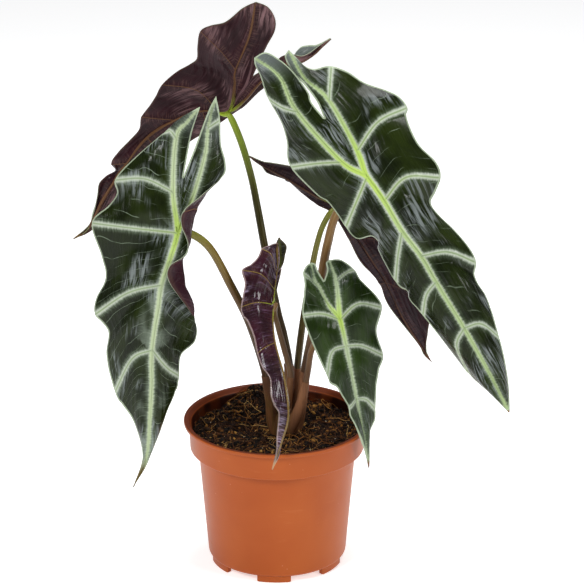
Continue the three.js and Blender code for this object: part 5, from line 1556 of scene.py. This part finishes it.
soil = {
    "depthBelowRim": 9.5, "gap": 0.4,
    "waves": (1.1, 0.31, 0.27, 0.9, 0.4), "slant": (0.77, 0.53, -0.41),
    "forms": [(-12, 48, 15, 11.5), (-14, 10, 13, -7), (6.4, 2, 15, -1.5)],  # x, y, width, rise
    "lumps": [(1.0, 5.3, 3), (0.75, 2.4, 4), (0.4, 1.1, 5)],  # height, size, seed
    "rings": 120, "around": 300,
    "crumbs": {
        "count": 4200, "inset": 1.5, "size": (0.35, 1.15), "stretch": (0.55, 1.45),
        "knobs": (0.8, 1.2), "grit": (0.95, 0.5), "lift": 0.25, "seed": 21,
    },
    "strand": {"steps": 15, "sides": 5, "inset": 2, "room": 1.2, "lift": 0.35, "thins": 0.6},
    "fibres": {
        "count": 560, "length": (5, 20), "arch": 3.5, "curl": 1.6, "thick": (0.12, 0.3), "seed": 31,
    },
    "longFibres": {
        "count": 60, "length": (24, 52), "arch": 6.5, "curl": 3.6, "thick": (0.14, 0.26), "seed": 32,
    },
}


# The soil's surface: shallow lumps a * sin(bx + d) * sin(cy + e), slanting ones f * sin(gx + hy), and
# wide forms rise * exp(-(distance / width)^2), with noise of three sizes on top.
def soilHeight(x, y):
    a, b, c, d, e = soil["waves"]
    f, g, h = soil["slant"]
    height = pot["height"] - soil["depthBelowRim"] + a * np.sin(b * x + d) * np.sin(c * y + e)
    height = height + f * np.sin(g * x + h * y)
    for cx, cy, width, rise in soil["forms"]:
        height = height + rise * np.exp(-((x - cx) ** 2 + (y - cy) ** 2) / width**2)
    return height + sum(rise * noise(x, y, size, seed) for rise, size, seed in soil["lumps"])


# The fill of the pot: its walls inside the pot's, then rings of the lumpy surface.
def buildSoil():
    level = pot["height"] - soil["depthBelowRim"]
    low, high = np.array(inside[2]), np.array(inside[3])
    edge = low[0] + (high[0] - low[0]) * (level - low[1]) / (high[1] - low[1]) - 2 * soil["gap"]
    a = np.linspace(0, 2 * np.pi, soil["around"], endpoint=False)
    floor, step = inside[0], inside[1]
    gap = soil["gap"]
    walls = [[0, floor[1] + gap], [floor[0] - gap, floor[1] + gap], [step[0] - gap, step[1]],
             [low[0] - gap, low[1] + gap]]
    radius = np.concatenate([np.array(walls)[:, 0], edge * np.linspace(1, 0, soil["rings"])])[:, None]
    x, y = radius * np.cos(a), radius * np.sin(a)
    z = soilHeight(x, y)
    z[: len(walls)] = np.array(walls)[:, 1:]
    points = np.stack([x, y, z], -1).reshape(-1, 3)
    first, quads, triangles = weld(points, gridFaces(len(radius), soil["around"], closed=True))
    return makePiece("potting_mix", points[first], [quads, triangles]), edge


# Scattered places on the soil: radius edge * sqrt(random), so that they lie evenly.
def scatter(count, edge, seed):
    random = np.random.default_rng(seed)
    angle, radius = random.uniform(0, 2 * np.pi, count), edge * np.sqrt(random.uniform(0, 1, count))
    return radius * np.cos(angle), radius * np.sin(angle), random


# Crumbs of peat, bark and grit: small icosahedra, stretched and turned, half sunk in the soil.
def buildCrumbs(edge):
    look = soil["crumbs"]
    x, y, random = scatter(look["count"], edge - look["inset"], look["seed"])
    kinds = random.uniform(0, 1, len(x))
    least, spare = look["size"]
    gritFrom, gritSize = look["grit"]
    size = least + spare * random.uniform(0, 1, len(x)) ** 3
    size = size * np.where(kinds > gritFrom, gritSize, 1)
    gold = (1 + 5**0.5) / 2
    corners = np.array([[-1, gold, 0], [1, gold, 0], [-1, -gold, 0], [1, -gold, 0], [0, -1, gold],
                        [0, 1, gold], [0, -1, -gold], [0, 1, -gold], [gold, 0, -1], [gold, 0, 1],
                        [-gold, 0, -1], [-gold, 0, 1]]) / 1.9  # about 1 long each
    faces = np.array([[0, 11, 5], [0, 5, 1], [0, 1, 7], [0, 7, 10], [0, 10, 11], [1, 5, 9], [5, 11, 4],
                      [11, 10, 2], [10, 7, 6], [7, 1, 8], [3, 9, 4], [3, 4, 2], [3, 2, 6], [3, 6, 8],
                      [3, 8, 9], [4, 9, 5], [2, 4, 11], [6, 2, 10], [8, 6, 7], [9, 8, 1]])
    shape = corners * random.uniform(*look["stretch"], (len(x), 1, 3))
    shape = shape * random.uniform(*look["knobs"], (len(x), 12, 1))
    turn = np.linalg.qr(random.normal(size=(len(x), 3, 3)))[0]
    turn = turn * np.sign(np.linalg.det(turn))[:, None, None]
    points = np.einsum("nij,nkj->nki", turn, shape) * size[:, None, None]
    points += np.stack([x, y, soilHeight(x, y) + look["lift"] * size], -1)[:, None]
    faces = faces + 12 * np.arange(len(x))[:, None, None]
    kind = np.repeat(kinds, 12)
    return makePiece("peat_crumbs", points.reshape(-1, 3), [faces.reshape(-1, 3)], {"kind": kind})


# Coir fibres: steps of equal length whose heading turns evenly from one end to the other. They lie
# halfway between the soil and the chord of their ends, and arch up by rise * sin(pi s).
def buildFibres(name, edge, look):
    count, strand = look["count"], soil["strand"]
    x, y, random = scatter(count, edge - strand["inset"], look["seed"])
    s = np.linspace(0, 1, strand["steps"])
    heading = random.uniform(0, 2 * np.pi, count)[:, None]
    reach = random.uniform(*look["length"], count)[:, None]
    bend = random.uniform(-1, 1, count)[:, None] * look["curl"]
    turned = heading + bend * (s - 0.5) * 2
    step = reach / (len(s) - 1)
    px = x[:, None] + np.cumsum(np.cos(turned), axis=1) * step
    py = y[:, None] + np.cumsum(np.sin(turned), axis=1) * step
    away = np.hypot(px, py)
    keep = np.minimum(1, (edge - strand["room"]) / np.maximum(away, 1e-6))
    px, py = px * keep, py * keep
    rise = random.uniform(0, 1, count)[:, None] ** 2 * look["arch"]
    start, end = soilHeight(px[:, :1], py[:, :1]), soilHeight(px[:, -1:], py[:, -1:])
    level = soilHeight(px, py) * 0.5 + (start + (end - start) * s) * 0.5
    pz = level + strand["lift"] + rise * np.sin(np.pi * s)
    radius = random.uniform(*look["thick"], count)[:, None] * (1 - strand["thins"] * s)
    points, faces, way = tubes(np.stack([px, py, pz], -1), radius, strand["sides"])
    kind = np.repeat(random.uniform(0, 1, count), len(points) // count)
    return makePiece(name, points, faces, {"kind": kind, "way": way})


# Dark moist peat, brown on the lumps; its hollows are painted nearly black as shade.
def soilPaint():
    paint = Paint("moist_peat")
    place = paint.place()
    lumps = paint.grain(place, 260, 4, 0.6)
    grit = paint.grain(place, 1300, 2)
    stops = [(0.32, (6, 3, 2)), (0.52, (20, 11, 6)), (0.7, (48, 26, 13)), (0.82, (86, 50, 25))]
    color = paint.ramp(lumps, stops)
    color = paint.blend(grit.rise(0.64, 0.78) * 0.4, color, (106, 74, 40))
    return paint.finish(
        Specular_IOR_Level=0.1,
        Base_Color=color,
        Roughness=0.75 + grit * 0.2,
        Normal=paint.bump(lumps + grit * 0.4, 1.2 * mm),
    )


# Loose bits of one kind each: `kind` from 0 to 1 picks the colour.
def bitPaint(name, stops, roughness):
    paint = Paint(name)
    tint = paint.grain(paint.place(), 900, 2)
    color = paint.ramp(paint.attribute("kind") + (tint - 0.5) * 0.06, stops)
    return paint.finish(
        Base_Color=color,
        Roughness=roughness + tint * 0.1,
        Normal=paint.bump(tint, 0.3 * mm),
        Specular_IOR_Level=0.2,
    )


mix, soilEdge = buildSoil()
dress(mix, soilPaint(), ["soil"])
crumbStops = [(0.0, (8, 5, 3)), (0.4, (20, 12, 7)), (0.64, (48, 29, 15)), (0.82, (92, 56, 25)),
              (0.91, (150, 102, 42)), (0.97, (182, 142, 76)), (1.0, (216, 206, 186))]
dress(buildCrumbs(soilEdge), bitPaint("peat_bits", crumbStops, 0.7))
fibreStops = [(0.0, (30, 15, 8)), (0.45, (66, 37, 18)), (0.72, (116, 70, 31)), (0.88, (170, 118, 56)),
              (1.0, (210, 170, 104))]
fibrePaint = bitPaint("coir", fibreStops, 0.55)
dress(buildFibres("coir_fibres", soilEdge, soil["fibres"]), fibrePaint)
dress(buildFibres("long_fibres", soilEdge, soil["longFibres"]), fibrePaint)
print("soil")

studio = {
    "floor": 4.0, "floorGlow": 0.56, "ambient": 0.15, "target": (0, 0, 0.18),
    "lights": {  # place and size in metres, power in watts
        "key": {"place": (-0.85, -1.05, 1.15), "size": 0.4, "power": 14},
        "side": {"place": (1.15, -0.7, 0.75), "size": 0.35, "power": 7},
        "top": {"place": (0.15, 0.2, 1.45), "size": 0.6, "power": 14},
    },
}


# The turn that points an object's -Z along `way`: tilt acos(-z) about X, then the heading about Z.
def aimed(way):
    x, y, z = way / np.linalg.norm(way)
    return (math.acos(-z), 0, math.atan2(-x, y))


# A pale glowing floor, a faint white surround and three square lamps turned to the plant.
def buildStudio():
    mesh = bpy.data.meshes.new("floor")
    reach = studio["floor"]
    corners = [(-reach, -reach, 0), (reach, -reach, 0), (reach, reach, 0), (-reach, reach, 0)]
    mesh.from_pydata(corners, [], [(0, 1, 2, 3)])
    floor = bpy.data.objects.new("floor", mesh)
    bpy.context.scene.collection.objects.link(floor)
    paint = Paint("pale_floor")
    mesh.materials.append(
        paint.finish(
            Base_Color=shade(246, 246, 246),
            Roughness=0.9,
            Specular_IOR_Level=0.1,
            Emission_Color=shade(255, 255, 255),
            Emission_Strength=studio["floorGlow"],
        )
    )
    floor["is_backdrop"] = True
    world = bpy.data.worlds.new("studio")
    world.use_nodes = True
    surround = world.node_tree.nodes["Background"]
    surround.inputs[0].default_value = shade(250, 251, 255)
    surround.inputs[1].default_value = studio["ambient"]
    bpy.context.scene.world = world
    for name, light in studio["lights"].items():
        lamp = bpy.data.lights.new(name, "AREA")
        lamp.shape, lamp.size, lamp.energy = "SQUARE", light["size"], light["power"]
        holder = bpy.data.objects.new(name, lamp)
        holder.location = light["place"]
        holder.rotation_euler = aimed(np.array(studio["target"]) - light["place"])
        bpy.context.scene.collection.objects.link(holder)
    bpy.context.scene.view_settings.view_transform = "Standard"


# The camera at the eye, looking along the front view.
def buildCamera():
    lens = bpy.data.cameras.new("camera")
    lens.lens, lens.sensor_width = view["lens"], 36
    camera = bpy.data.objects.new("camera", lens)
    camera.location = (eye + axis) * mm
    camera.rotation_euler = aimed(forward)
    bpy.context.scene.collection.objects.link(camera)
    bpy.context.scene.camera = camera


buildStudio()
buildCamera()
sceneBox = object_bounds()
boxes = {"cad": cadBox, "scene": sceneBox}
{key: [list(corner) for corner in box] for key, box in boxes.items()}
